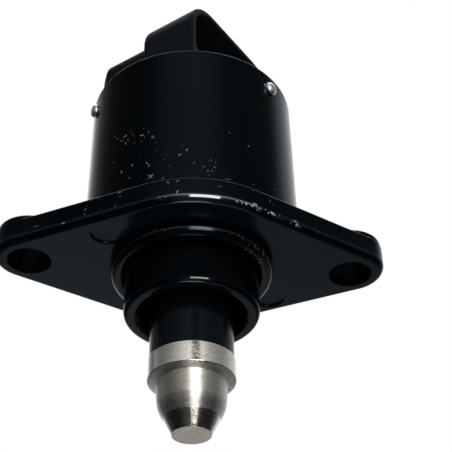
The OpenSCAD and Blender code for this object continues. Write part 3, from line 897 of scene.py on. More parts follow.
@dataclass(frozen=True)
class Moulding:
    """Moulded plastic with a fine grain.

    Attributes:
        colour: the plastic's colour.
        gloss: how rough it is.
        shine: how strongly it mirrors.
        sheen: tint of what it mirrors. A blue one is a painted reflection colour that stands in for bluish
            light.
        grain: depth of the grain in millimetres.
        scuffs: how strongly pale scuffs show.
    """

    colour: Colour
    gloss: float = 0.5
    shine: float = 0.4
    sheen: Colour = (1.0, 1.0, 1.0)
    grain: float = 0.012
    scuffs: float = 0.0

    def material(self, name: str) -> bpy.types.Material:
        """Makes the material.

        Args:
            name: the material's name.

        Returns:
            The material.
        """
        made, g = new_material(name)
        cloud = g.noise(5.0, 4)
        grain = g.noise(0.22, 2)
        colour = g.blend(cloud, shade(self.colour, 0.8), shade(self.colour, 1.35, 0.004))
        if self.scuffs:
            rubs = g.flecks(0.8, 0.12, 0.14, (1.0, 0.5, 1.0), (0, 25, 40)) * g.noise(6.0, 2).step(0.5, 0.65)
            colour = g.blend(rubs * self.scuffs, colour, (0.22, 0.22, 0.22))
        g.finish(Base_Color=colour, Roughness=cloud * 0.16 + (self.gloss - 0.08),
                 Specular_IOR_Level=self.shine, Specular_Tint=self.sheen,
                 Normal=g.relief(grain, self.grain, 0.6))
        return made


@dataclass(frozen=True)
class Rubber:
    """Black rubber with dust that clings to it.

    Attributes:
        colour: the rubber's colour.
        gloss: how rough it is.
        dust: how much dust shows.
        grey: the dust's colour.
        thick: places in millimetres where it lies thick, and their reach.
    """

    colour: Colour = (0.0006, 0.0008, 0.001)
    gloss: float = 0.1
    dust: float = 0.8
    grey: Colour = (0.2, 0.19, 0.17)
    thick: tuple[tuple[Triple, float], ...] = (((9.0, -7.5, -2.0), 5.5), ((10.5, -4.0, -2.0), 5.0))

    def material(self, name: str) -> bpy.types.Material:
        """Makes the material.

        Args:
            name: the material's name.

        Returns:
            The material.
        """
        made, g = new_material(name)
        cloud = g.noise(2.5, 4)
        thick_dust = g.near(self.thick)
        specks = g.flecks(0.5, 0.4, 0.24) * (thick_dust + g.noise(5.0, 2).step(0.5, 0.6) * 0.4).least(1.0)
        lint = g.flecks(1.1, 0.2, 0.1, (0.3, 1.0, 1.0), (0, 40, 25)) * g.noise(6.0, 2).step(0.54, 0.62)
        share = specks.top(lint) * self.dust
        rubber = g.blend(cloud, shade(self.colour, 0.7), shade(self.colour, 1.8))
        # The bluish specular tint is a painted reflection colour that stands in for bluish light.
        g.finish(Base_Color=g.blend(share, rubber, self.grey), Roughness=cloud * 0.1 + self.gloss,
                 Specular_IOR_Level=0.42, Specular_Tint=(0.7, 0.86, 1.0),
                 Normal=g.relief(g.noise(0.3, 3) + share, 0.01, 0.5))
        return made


@dataclass(frozen=True)
class TurnedMetal:
    """Metal cut on a lathe: fine rings round the Z axis, and bands where its tint and roughness change.

    Attributes:
        colour: the metal's colour.
        gloss: how rough it is.
        rings: depth of the rings in millimetres.
        pitch: height of a ring in millimetres.
        bands: heights at which the finish changes, as (height, tint, roughness) from the top down.
        face: height below which the flat tip starts, or None.
        drawn: how far the rings stretch a reflection upwards, from 0 to 1.
    """

    colour: Colour
    gloss: float = 0.28
    rings: float = 0.01
    pitch: float = 0.12
    bands: tuple[Triple, ...] = ()
    face: float | None = None
    drawn: float = 0.8

    def material(self, name: str) -> bpy.types.Material:
        """Makes the material.

        Args:
            name: the material's name.

        Returns:
            The material.
        """
        made, g = new_material(name)
        z = g.axes()[2]
        ring = g.noise(self.pitch, 3, 0.7, (0.01, 0.01, 1.0))
        grain = g.noise(0.3, 3, 0.7, (0.45, 0.45, 1.0))
        patch = g.noise(1.6, 4, 0.6, (1.0, 1.0, 2.0))
        pits = g.flecks(0.35, 0.2, 0.15) * patch.step(0.45, 0.6)
        tint = 0.5 + patch * 0.3 + ring * 0.16 + grain.step(0.3, 0.7) * 0.34
        rough = patch * 0.16 + ring * 0.12 + grain * 0.3 + (self.gloss - 0.25)
        for height, share, rise in self.bands:
            below = z.step(height + 0.06, height - 0.06)
            tint = tint * (1 - below * (1 - share))
            rough = rough + below * rise
        depth, metallic = ring, 1.0
        if self.face is not None:
            flat = z.step(self.face + 0.03, self.face)
            tint = tint * (1 - flat) + flat * (0.45 + g.noise(0.3, 4, 0.7).step(0.3, 0.7) * 0.35)
            rough = rough * (1 - flat) + flat * 0.55
            depth = ring * (1 - flat) + flat * g.noise(0.2, 3)
            metallic = 1 - flat * 0.6
        colour = g.blend(tint - pits * 0.35, (0.0, 0.0, 0.0), self.colour)
        g.finish(Base_Color=colour, Metallic=metallic, Roughness=rough, Anisotropic=self.drawn,
                 Anisotropic_Rotation=0.25, Normal=g.relief(depth + grain * 0.5 - pits, self.rings, 0.8))
        return made


@dataclass(frozen=True)
class PlainMetal:
    """Metal with a cloudy satin finish.

    Attributes:
        colour: the metal's colour.
        gloss: how rough it is.
        brushed: scale of the brush marks along the three axes.
        depth: depth of the marks in millimetres.
    """

    colour: Colour
    gloss: float = 0.3
    brushed: Triple = (1.0, 1.0, 1.0)
    depth: float = 0.006

    def material(self, name: str) -> bpy.types.Material:
        """Makes the material.

        Args:
            name: the material's name.

        Returns:
            The material.
        """
        made, g = new_material(name)
        cloud = g.noise(2.0, 4)
        marks = g.noise(0.2, 3, 0.6, self.brushed)
        colour = g.blend(cloud, shade(self.colour, 0.72), shade(self.colour, 1.15))
        g.finish(Base_Color=colour, Metallic=1.0, Roughness=cloud * 0.18 + marks * 0.1 + (self.gloss - 0.12),
                 Normal=g.relief(marks, self.depth, 0.6))
        return made


@dataclass(frozen=True)
class WoundWire:
    """A coil of fine enamelled wire: close turns that show as ridges, with painted shade darkening the
    grooves between them.

    Attributes:
        colour: the wire's colour.
        pitch: distance between turns in millimetres.
    """

    colour: Colour = (0.62, 0.2, 0.06)
    pitch: float = 0.3

    def material(self, name: str) -> bpy.types.Material:
        """Makes the material.

        Args:
            name: the material's name.

        Returns:
            The material.
        """
        made, g = new_material(name)
        z = g.axes()[2]
        turns = (z / self.pitch + g.noise(2.0, 2) * 0.6).math("PINGPONG", 0.5) * 2
        # Painted shade: the colour darkens towards the grooves between turns.
        colour = g.blend(turns, shade(self.colour, 0.35), self.colour)
        g.finish(Base_Color=colour, Metallic=0.85, Roughness=g.noise(1.0, 3) * 0.15 + 0.25,
                 Normal=g.relief(turns, 0.08, 0.9))
        return made


# Sub-assemblies


@dataclass
class Casting:
    """The enamelled casting: flange, ears, motor can and spigot in one piece. Lengths are in millimetres.

    Attributes:
        flange: the flange's sizes.
        can_r: the can's radius at its rim.
        can_draft: how much larger its radius is at the flange.
        can_inner_r: radius of its inside.
        spigot_r: the spigot's radius.
        recess_r: radius of the recess in the spigot.
        relief_r: radius of the relief in the mounting face.
        relief: depth of that relief.
        seat_r: the spigot's radius under the O-ring.
        seat_low: height where that narrower stretch ends.
        floors: heights where the recess ends, where the bearing sits and where the stator sits.
        pocket: inner radius, outer radius and floor of the ring-shaped pocket in the can's floor.
        bearing_r: radius of the bearing's bore.
        bush_r: radius of the hole between the bearing's bore and the recess.
        root_fillet: fillet between the flange and the can.
        mark_r: radius of a moulding mark under the flange.
        mark_depth: its depth.
        mark_place: its distance from the axis.
        mark_turn: turn of the first mark from +X in degrees. The second lies opposite.
        can_nicks: the nicks in the can.
        flange_nicks: the nicks in the flange's side.
        crowds: the can's crowds, as Enamel has them.
        worn: the flange's rubbed places, as Enamel has them.
        brushed: the flange's scratched places, as Enamel has them.
    """

    flange: FlangeSizes = field(default_factory=FlangeSizes)
    can_r: float = 16.75
    can_draft: float = 0.2
    can_inner_r: float = 15.55
    spigot_r: float = 10.3
    recess_r: float = 8.1
    relief_r: float = 12.7
    relief: float = 0.2
    seat_r: float = 10.0
    seat_low: float = -2.6
    floors: tuple[float, float, float] = (2.0, 5.0, 9.0)
    pocket: tuple[float, float, float] = (9.6, 13.5, 5.5)
    bearing_r: float = 8.0
    bush_r: float = 4.0
    root_fillet: float = 0.14
    mark_r: float = 2.55
    mark_depth: float = 0.4
    mark_place: float = 15.3
    mark_turn: float = 31.0
    can_nicks: tuple[Nick, ...] = (
        Nick(-44.5, 15.0, 0.7, 50, 0.8), Nick(-42, 15.3, 0.7, 25, 0.8), Nick(-40, 14.4, 0.4, 70, 0.9),
        Nick(-35.5, 13.1, 0.35, 60, 0.5), Nick(-31, 14.1, 1.0, -10, 0.9), Nick(-27, 14.3, 0.5, 60, 0.5),
        Nick(-25, 13.1, 0.75, 45, 0.9), Nick(-22, 10.1, 0.3, 0, 0.35), Nick(-8.5, 10.4, 0.45, 70, 0.4),
        Nick(-6.5, 9.6, 0.9, 65, 0.6), Nick(-10, 8.7, 0.9, 40, 0.7), Nick(-3, 7.1, 0.8, 60, 0.35),
        Nick(1, 6.5, 0.9, -20, 0.5), Nick(-27, 8.0, 0.6, -45, 0.6), Nick(-26, 7.4, 0.5, 45, 0.7),
        Nick(-49, 11.2, 0.4, 80, 0.4), Nick(-41, 8.8, 0.4, 60, 0.5), Nick(-42.5, 8.1, 0.45, 45, 0.7),
        Nick(-25, 5.3, 1.1, 50, 1.0, 0.34), Nick(-18.5, 4.5, 0.7, 10, 0.4), Nick(15.5, 13.8, 0.35, 20, 0.6),
        Nick(14, 4.6, 1.2, 0, 0.45), Nick(28, 5.1, 0.35, 60, 0.5), Nick(43, 6.3, 0.5, 80, 0.7))
    flange_nicks: tuple[Nick, ...] = (
        Nick(-16, 3.4, 0.6, -30, 0.4), Nick(-11, 3.5, 0.7, 45, 0.8), Nick(-11, 1.4, 0.7, 60, 0.9),
        Nick(-41, 3.7, 0.9, 25, 0.8), Nick(-57, 2.3, 0.35, 60, 0.5), Nick(-57, 1.4, 0.35, 60, 0.6),
        Nick(-43, 1.2, 0.4, 70, 0.5), Nick(-65.5, 0.9, 0.6, 10, 0.9), Nick(-74, 1.7, 0.8, 0, 0.3),
        Nick(9, 2.7, 0.7, 30, 0.3), Nick(27, 3.6, 0.5, 30, 0.4), Nick(28, 1.1, 0.9, -30, 1.0, 0.6),
        Nick(38.5, 0.8, 1.3, -20, 0.9, 0.35), Nick(51, 1.2, 0.6, 0, 0.4), Nick(62, 0.9, 0.3, 0, 0.5))
    crowds: tuple[Triple, ...] = (
        (-43, 14.5, 2.5), (-33, 14.0, 3.0), (-24, 12.0, 2.5), (-9, 10.0, 3.0), (2, 7.0, 3.0),
        (-36, 8.0, 3.5), (-20, 6.0, 3.0), (28, 13.0, 1.5), (78, 10.0, 5.0), (80, 19.0, 5.0))
    worn: tuple[Triple, ...] = (
        (-15, 0.4, 2.2), (-4, 0.5, 1.5), (20, 0.5, 2.5), (28, 0.8, 2.0), (38, 0.7, 2.2), (52, 0.8, 1.5))
    brushed: tuple[Triple, ...] = ((30, 2.4, 3.0), (38, 2.4, 3.0), (-38, 2.4, 2.0), (-54, 2.2, 2.0))

    def section(self) -> np.ndarray:
        """Draws the half section of the can, the floor and the spigot, with rounded corners.

        Returns:
            The closed path's points as rows of radius and height.
        """
        low, high = span("valve_body")
        foot, rim = low[2], high[2]
        recess_floor, bearing_floor, seat = self.floors
        recess_r, seat_low = self.recess_r, self.seat_low
        pocket_in, pocket_out, pocket_low = self.pocket
        thick, fillet, foot_r = self.flange.thick, self.root_fillet, self.can_r + self.can_draft
        hidden = self.relief_r + 0.8
        corners = [
            (recess_r + 0.5, foot, 0.12), (self.spigot_r, foot, 0.8), (self.spigot_r, seat_low, 0.15),
            (self.seat_r, seat_low, 0.15), (self.seat_r, self.relief, 0.15), (hidden, self.relief, 0),
            (hidden, 1.0, 0), (foot_r, 1.0, 0), (foot_r, thick - 0.3, 0), (foot_r + fillet, thick - 0.01, 0),
            (foot_r, thick, fillet), (self.can_r, rim, 0.16), (self.can_inner_r, rim, 0.2),
            (self.can_inner_r, seat, 0.2), (pocket_out, seat, 0.3), (pocket_out, pocket_low, 0.6),
            (pocket_in, pocket_low, 0.6), (pocket_in, seat, 0.3), (self.bearing_r, seat, 0.2),
            (self.bearing_r, bearing_floor, 0.2), (self.bush_r, bearing_floor, 0.2),
            (self.bush_r, recess_floor, 0.2), (recess_r, recess_floor, 0.4), (recess_r, foot + 0.5, 0.1),
        ]
        return rounded(corners)

    def build(self) -> bpy.types.Object:
        """Builds the casting as one closed mesh.

        Returns:
            The casting, not yet dressed.
        """
        f, core_r, around_can = self.flange, self.relief_r, 192
        plate = solid("valve_casting", stack(f.outline, edge_levels(0, f.thick, f.low_edge, f.edge, 7)))
        core = lathe(rounded([(0, -1, 0), (core_r, -1, 0), (core_r, 6, 0), (0, 6, 0)]), around_can)
        joined(plate, core, Join.CUT)
        joined(plate, lathe(self.section(), around_can), Join.ADD)
        boss_r, boss_top = f.ear_r - f.ear_step, f.thick + f.ear_rise
        boss = lathe(rounded([(0, 2, 0), (boss_r, 2, 0), (boss_r, boss_top, 0.6), (0, boss_top, 0)]), 96)
        hole_r, mouth_r = f.hole_r, f.hole_r + 0.25
        hole = lathe(rounded([
            (0, -1, 0), (hole_r + 0.2, -1, 0), (hole_r + 0.2, 0, 0), (hole_r, 0.2, 0.15),
            (hole_r, boss_top - 0.25, 0.2), (mouth_r, boss_top, 0), (mouth_r, boss_top + 1, 0),
            (0, boss_top + 1, 0)]), 96)
        mark_r, depth = self.mark_r, self.mark_depth
        mark = lathe(rounded([
            (0, -1, 0), (mark_r + 0.08, -1, 0), (mark_r + 0.08, 0, 0), (mark_r, 0.08, 0),
            (mark_r, depth, 0.12), (0, depth, 0)]), 64)
        for side in (-1, 1):
            joined(plate, boss.placed(Matrix.Translation((side * f.ear_x, 0, 0))), Join.ADD)
        for side in (-1, 1):
            joined(plate, hole.placed(Matrix.Translation((side * f.ear_x, 0, 0))), Join.CUT)
            turn = self.mark_turn + (0 if side > 0 else 180)
            joined(plate, mark.placed(Matrix.Translation((self.mark_place, 0, 0))).turned(turn), Join.CUT)
        return smoothed(plate)

    def zones(self, piece: bpy.types.Object) -> np.ndarray:
        """Sorts the faces: what faces the engine looks down, and the holes count as bores.

        Args:
            piece: the casting.

        Returns:
            The number of each face's zone.
        """
        middle, normal = face_table(piece)
        z, r = middle[:, 2], np.hypot(middle[:, 0], middle[:, 1])
        inside, seat = r < self.relief_r, self.floors[2]
        low = (z > -0.05) & (z < self.mark_depth + 0.05) | inside & (z < seat - 3)
        under = low & (normal[:, 2] < -0.98)
        to_hole = np.hypot(np.abs(middle[:, 0]) - self.flange.ear_x, middle[:, 1])
        bore = (inside & (z < seat - 0.5) | (to_hole < self.flange.hole_r + 0.25)) & ~under
        side = z < self.flange.thick + 0.05
        return np.select([bore, under, side], [Zone.BORE, Zone.FACE, Zone.SIDE], Zone.CAN)

    def dress(self, piece: bpy.types.Object) -> None:
        """Gives the can and the flange's side nicked gloss enamel, and the other zones a flatter one: a
        lighter copy on the mounting face as painted light, and a darker copy with little shine on the spigot
        and in the holes as painted shade.

        Args:
            piece: the casting.
        """
        foot = span("valve_body")[0][2]
        can = Enamel(can_r=self.can_r + self.can_draft / 2, nicks=self.can_nicks, crowds=self.crowds)
        side = Enamel(nicks=self.flange_nicks, worn=self.worn, brushed=self.brushed,
                      polished=((1.5, -self.flange.middle_r, 0.6), 9.0, self.flange.low_edge))
        # Painted light: the mounting face's paint is lighter than the can's, though the casting has one
        # enamel. Its bluish sheen is a painted reflection colour.
        flat = Enamel(paint=(0.0014, 0.0042, 0.006), sheen=(0.75, 0.94, 1.0), gloss=0.18, shine=0.29)
        # Painted shade: the paint of the spigot and the holes is darker and shines less, though the casting
        # has one enamel.
        spigot = Enamel(paint=(0.0006, 0.0012, 0.002), gloss=0.2, shine=0.06,
                        polished=((0.5, -9.9, foot), 5.0, foot + 0.5))
        dressed(piece, can.material("enamel_can"), side.material("enamel_flange", self.flange),
                flat.material("enamel_face_painted_light"), spigot.material("enamel_bore_painted_shade"), kind=self.zones(piece))


@dataclass
class PlugCap:
    """The plastic cap: the plug in the can, the low block, the tall hood and its socket.

    Attributes:
        turn: turn of the socket's mouth from the front towards +X, in degrees.
        width: width of the hood and the block.
        rise: height of the hood's roof above the can's rim.
        front: distance from the axis to the mouth.
        corner: radius of the hood's upper corners.
        back: distance from the axis to the hood's back.
        back_edge: rounding of the back's edge.
        wall: thickness of the hood's wall.
        rim_drop: how far the cap's face lies below the can's rim.
        floor: height of the socket's floor above the rim.
        mouth_depth: depth of the socket's wide outer step.
        plug_r: radius of the plug in the can.
        pocket_r: radius of the pocket for the rear bush.
        pocket_top: height of that pocket's top.
        groove: radius of the seal's groove, and its lower and upper edge above the plug's foot.
        ledge_side: how much narrower the deep step is at each side.
        ledge_low: how much higher its floor lies.
        ledge_high: how much lower its roof lies.
        socket_end: distance from the axis to the deep step's end.
        block_r: radius of the low block's back.
        block_rise: height of its top above the rim.
        block_edge: rounding of its upper edge.
        latch_w: width of the latch.
        latch_h: its height above the roof.
    """

    turn: float = 50.5
    width: float = 25.0
    rise: float = 14.9
    front: float = 8.9
    corner: float = 6.0
    back: float = 1.5
    back_edge: float = 0.8
    wall: float = 1.2
    rim_drop: float = 0.4
    floor: float = 1.3
    mouth_depth: float = 6.0
    plug_r: float = 15.5
    pocket_r: float = 5.05
    pocket_top: float = 27.0
    groove: Triple = (14.25, 0.8, 2.2)
    ledge_side: float = 3.0
    ledge_low: float = 2.7
    ledge_high: float = 0.8
    socket_end: float = 1.2
    block_r: float = 15.4
    block_rise: float = 9.3
    block_edge: float = 3.0
    latch_w: float = 2.4
    latch_h: float = 1.2

    def hood_outline(self, rim: float) -> Callable[[float], np.ndarray]:
        """Draws the tall hood as (x, z), round at its upper corners.

        Args:
            rim: height of the can's rim.

        Returns:
            A function that gives the outline's points for an inset.
        """
        low, high = rim - self.rim_drop - 0.5, rim + self.rise

        def outline(inset: float) -> np.ndarray:
            """Draws the outline, smaller at the roof and the sides.

            Args:
                inset: how far it is drawn in.

            Returns:
                The points as an (n, 2) array.
            """
            half, r, top = self.width / 2 - inset, self.corner - inset, high - inset
            left = arc((-half + r, top - r), r, 90, 180, 16)
            right = arc((half - r, top - r), r, 0, 90, 16)
            return np.vstack([[(half, low)], right, left, [(-half, low)]])

        return outline

    def window(self, w: float, h: float, z: float, top_r: float,
               low_r: float) -> Callable[[float], np.ndarray]:
        """Draws a window with rounded corners as (x, z).

        Args:
            w: its width.
            h: its height.
            z: the height that it stands on.
            top_r: radius of its upper corners.
            low_r: radius of its lower corners.

        Returns:
            A function that gives the outline's points for an inset.
        """

        def outline(inset: float) -> np.ndarray:
            """Draws the window.

            Args:
                inset: how far it is drawn in. It is wider where this is negative.

            Returns:
                The points as an (n, 2) array.
            """
            half, low, high = w / 2 - inset, z + inset, z + h - inset
            top, foot = top_r - inset, low_r - inset
            return np.vstack([arc((half - top, high - top), top, 0, 90, 12),
                              arc((-half + top, high - top), top, 90, 180, 12),
                              arc((-half + foot, low + foot), foot, 180, 270, 12),
                              arc((half - foot, low + foot), foot, 270, 360, 12)])

        return outline

    def block_outline(self, inset: float) -> np.ndarray:
        """Draws the low block's plan: straight sides, and a back that follows the can.

        Args:
            inset: how far it is drawn in.

        Returns:
            The points as an (n, 2) array.
        """
        half, r = self.width / 2 - inset, self.block_r - inset
        reach = math.degrees(math.acos(half / r))
        return np.vstack([[(half, -0.2)], arc((0, 0), r, reach, 180 - reach, 40), [(-half, -0.2)]])

    def build(self) -> bpy.types.Object:
        """Builds the cap as one closed mesh.

        Returns:
            The cap, not yet dressed.
        """
        foot, rim = span("connector_cap")[0][2], span("valve_body")[1][2]
        face, plug_r, pocket_r = rim - self.rim_drop, self.plug_r, self.pocket_r
        groove_r, groove_low, groove_high = self.groove
        disc = rounded([
            (pocket_r, foot, 0.2), (plug_r, foot, 0.4), (plug_r, foot + groove_low, 0.1),
            (groove_r, foot + groove_low, 0.2), (groove_r, foot + groove_high, 0.2),
            (plug_r, foot + groove_high, 0.1), (plug_r, face, 0.25), (0, face, 0),
            (0, self.pocket_top, 0), (pocket_r, self.pocket_top, 0.2)])
        cap = solid("plug_cap", lathe(disc, 160))
        hood = stack(self.hood_outline(rim), edge_levels(-self.back, self.front, self.back_edge, 0.45, 6))
        steps = 9
        levels = edge_levels(face - 0.4, rim + self.block_rise, 0.0, self.block_edge, steps)[steps:]
        block = stack(self.block_outline, levels)
        for part in (upright(hood), block):
            joined(cap, part.turned(self.turn), Join.ADD)
        for cutter in self.cavity(rim):
            joined(cap, upright(cutter).turned(self.turn), Join.CUT)
        joined(cap, self.latch(rim + self.rise).turned(self.turn), Join.ADD)
        return smoothed(cap, 34)

    def cavity(self, rim: float) -> list[Surface]:
        """Shapes the two steps of the socket, each with a rounded mouth.

        Args:
            rim: height of the can's rim.

        Returns:
            The wide outer step and the deep inner one.
        """
        mouth, ledge = self.front, self.front - self.mouth_depth
        wide_w, wide_z = self.width - 2 * self.wall, rim + self.floor
        wide_h = self.rise - self.wall - self.floor
        deep_w, deep_z = wide_w - 2 * self.ledge_side, wide_z + self.ledge_low
        deep_h = wide_z + wide_h - self.ledge_high - deep_z
        wide = np.vstack([edge_levels(ledge, mouth, 0.25, -0.3), [[-0.3, mouth + 2]]])
        deep = np.vstack([edge_levels(self.socket_end, ledge, 0.25, -0.3), [[-0.3, ledge + 0.6]]])
        return [stack(self.window(wide_w, wide_h, wide_z, 4.8, 4.0), wide),
                stack(self.window(deep_w, deep_h, deep_z, 3.0, 2.5), deep)]

    def latch(self, roof: float) -> Surface:
        """Shapes the latch: a ramp that climbs from the mouth to a flat catch.

        Args:
            roof: height of the hood's roof.

        Returns:
            The closed surface.
        """
        start, catch, flat = 0.6 - self.front, -0.4, 3.0
        side = rounded([(start, roof - 0.5, 0), (catch, roof - 0.5, 0), (catch, roof + self.latch_h, 0.3),
                        (catch - flat, roof + self.latch_h, 1.5), (start, roof + 0.2, 0.1)])
        middle = side.mean(0)

        def outline(inset: float) -> np.ndarray:
            """Returns the side view, drawn towards its middle by about the inset."""
            return middle + (side - middle) * (1 - inset / 2.5)

        return sideways(stack(outline, edge_levels(-self.latch_w / 2, self.latch_w / 2, 0.2, 0.2, 3)))

    def dress(self, piece: bpy.types.Object) -> None:
        """Gives the cap its black plastic.

        Args:
            piece: the cap.
        """
        # The bluish sheen is a painted reflection colour that stands in for bluish light.
        plastic = Moulding((0.0042, 0.0066, 0.0085), gloss=0.58, shine=0.07, sheen=(0.7, 0.88, 1.0),
                           scuffs=0.4)
        dressed(piece, plastic.material("cap_plastic"))


@dataclass
class DrivePins:
    """The three bright pins that hold the cap in the can.

    Attributes:
        first: turn of the first pin from the front towards +X, in degrees.
        count: how many pins there are.
        can_r: the can's radius at the pins.
        height: height of their middle.
        shank_r: radius of a shank.
        head_r: radius of a dome.
        proud: how far a dome stands out.
        length: how far a shank goes in.
    """

    first: float = 45.0
    count: int = 3
    can_r: float = 16.77
    height: float = 27.7
    shank_r: float = 0.9
    head_r: float = 1.15
    proud: float = 0.9
    length: float = 3.4

    def build(self, index: int) -> bpy.types.Object:
        """Builds one pin: a shank and a flattened dome, whose height falls with the cube of the radius.

        Args:
            index: which pin, from 0.

        Returns:
            The pin, not yet dressed.
        """
        share = np.sin(np.linspace(0, math.pi / 2, 14))
        dome = np.column_stack([self.head_r * share, 0.2 + (self.proud - 0.2) * (1 - share ** 3) ** 0.6])
        shank = rounded([(self.head_r, 0.05, 0.1), (self.shank_r, 0.02, 0), (self.shank_r, -self.length, 0.2),
                         (0, -self.length, 0), (0, 0.0, 0)])[:-1]
        pin = lathe(np.vstack([dome, shank]), 40).placed(Matrix.Rotation(math.pi / 2, 4, "X"))
        place = Matrix.Translation((0, -self.can_r, self.height))
        turn = self.first + index * 360 / self.count
        return smoothed(solid(f"drive_pin_{index + 1}", pin.placed(place).turned(turn)), 50)


@dataclass
class Terminals:
    """The four tinned blades in the socket.

    Attributes:
        turn: turn of the socket from the front towards +X, in degrees.
        pitch: distance between two terminals.
        width: a terminal's width.
        thick: its thickness.
        count: how many terminals there are.
        tip: distance from the axis to the blade's tip, forwards.
        taper: length of the tip's chamfer.
        leg: distance from the axis to the back of the first upright stretch, forwards.
        back: distance from the axis to the rear leg's middle, backwards.
        foot: height of the rear leg's end.
        run: height of the stretch between the two.
    """

    turn: float = 50.5
    pitch: float = 3.8
    width: float = 1.5
    thick: float = 0.64
    count: int = 4
    tip: float = 5.4
    taper: float = 0.9
    leg: float = -0.3
    back: float = 10.2
    foot: float = 24.2
    run: float = 33.7

    def build(self, index: int) -> bpy.types.Object:
        """Builds one terminal: a blade with a chamfered tip, a run through the block and a leg.

        Args:
            index: which terminal, from 0.

        Returns:
            The terminal, not yet dressed.
        """
        half, tip, far = self.thick / 2, -self.tip, self.back
        foot, run, blade = self.foot, self.run, span("terminal_1")[1][2] - half
        near, full = -self.leg - half, tip + self.taper
        side = rounded([
            (tip, blade - 0.1, 0.05), (full, blade - half, 0.4), (near - half, blade - half, 0.02),
            (near - half, run - half, 0.4), (far - half, run - half, 0.1), (far - half, foot, 0.05),
            (far + half, foot, 0.05), (far + half, run + half, 0.4), (near + half, run + half, 0.1),
            (near + half, blade + half, 0.4), (full, blade + half, 0.4), (tip, blade + 0.1, 0.05)])
        w = self.width / 2
        shape = sideways(stack(lambda inset: side, np.array([[0, -w], [0, w]])))
        shift = Matrix.Translation(((index - (self.count - 1) / 2) * self.pitch, 0, 0))
        blade_piece = solid(f"terminal_blade_{index + 1}", shape.placed(shift).turned(self.turn))
        return smoothed(blade_piece, 40, 0.06)


@dataclass
class Rings:
    """The rubber rings: one at the spigot's root, one round the cap's plug.

    Attributes:
        steps: segments of the full turn.
    """

    steps: int = 160

    def build(self, name: str, node: str, flash: float) -> bpy.types.Object:
        """Builds a ring over a packed one, with the faint seam of its mould.

        The section's radius is r + flash exp(-(angle / 0.07)^2), with the angle measured from the
        outer and from the inner equator.

        Args:
            name: the piece's name.
            node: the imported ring.
            flash: height of the seam in millimetres.

        Returns:
            The ring, not yet dressed.
        """
        low, high = span(node)
        section = (high[2] - low[2]) / 2
        ring, height = high[0] - section, (high[2] + low[2]) / 2
        sides = 48
        angle = (2 * np.arange(sides) + 1) * math.pi / sides - math.pi
        seam = np.exp(-(angle / 0.07) ** 2) + np.exp(-((np.abs(angle) - math.pi) / 0.07) ** 2)
        r = section - flash + flash * seam
        path = np.column_stack([ring + r * np.cos(angle), height + r * np.sin(angle)])
        return smoothed(solid(name, lathe(path, self.steps)), 60)


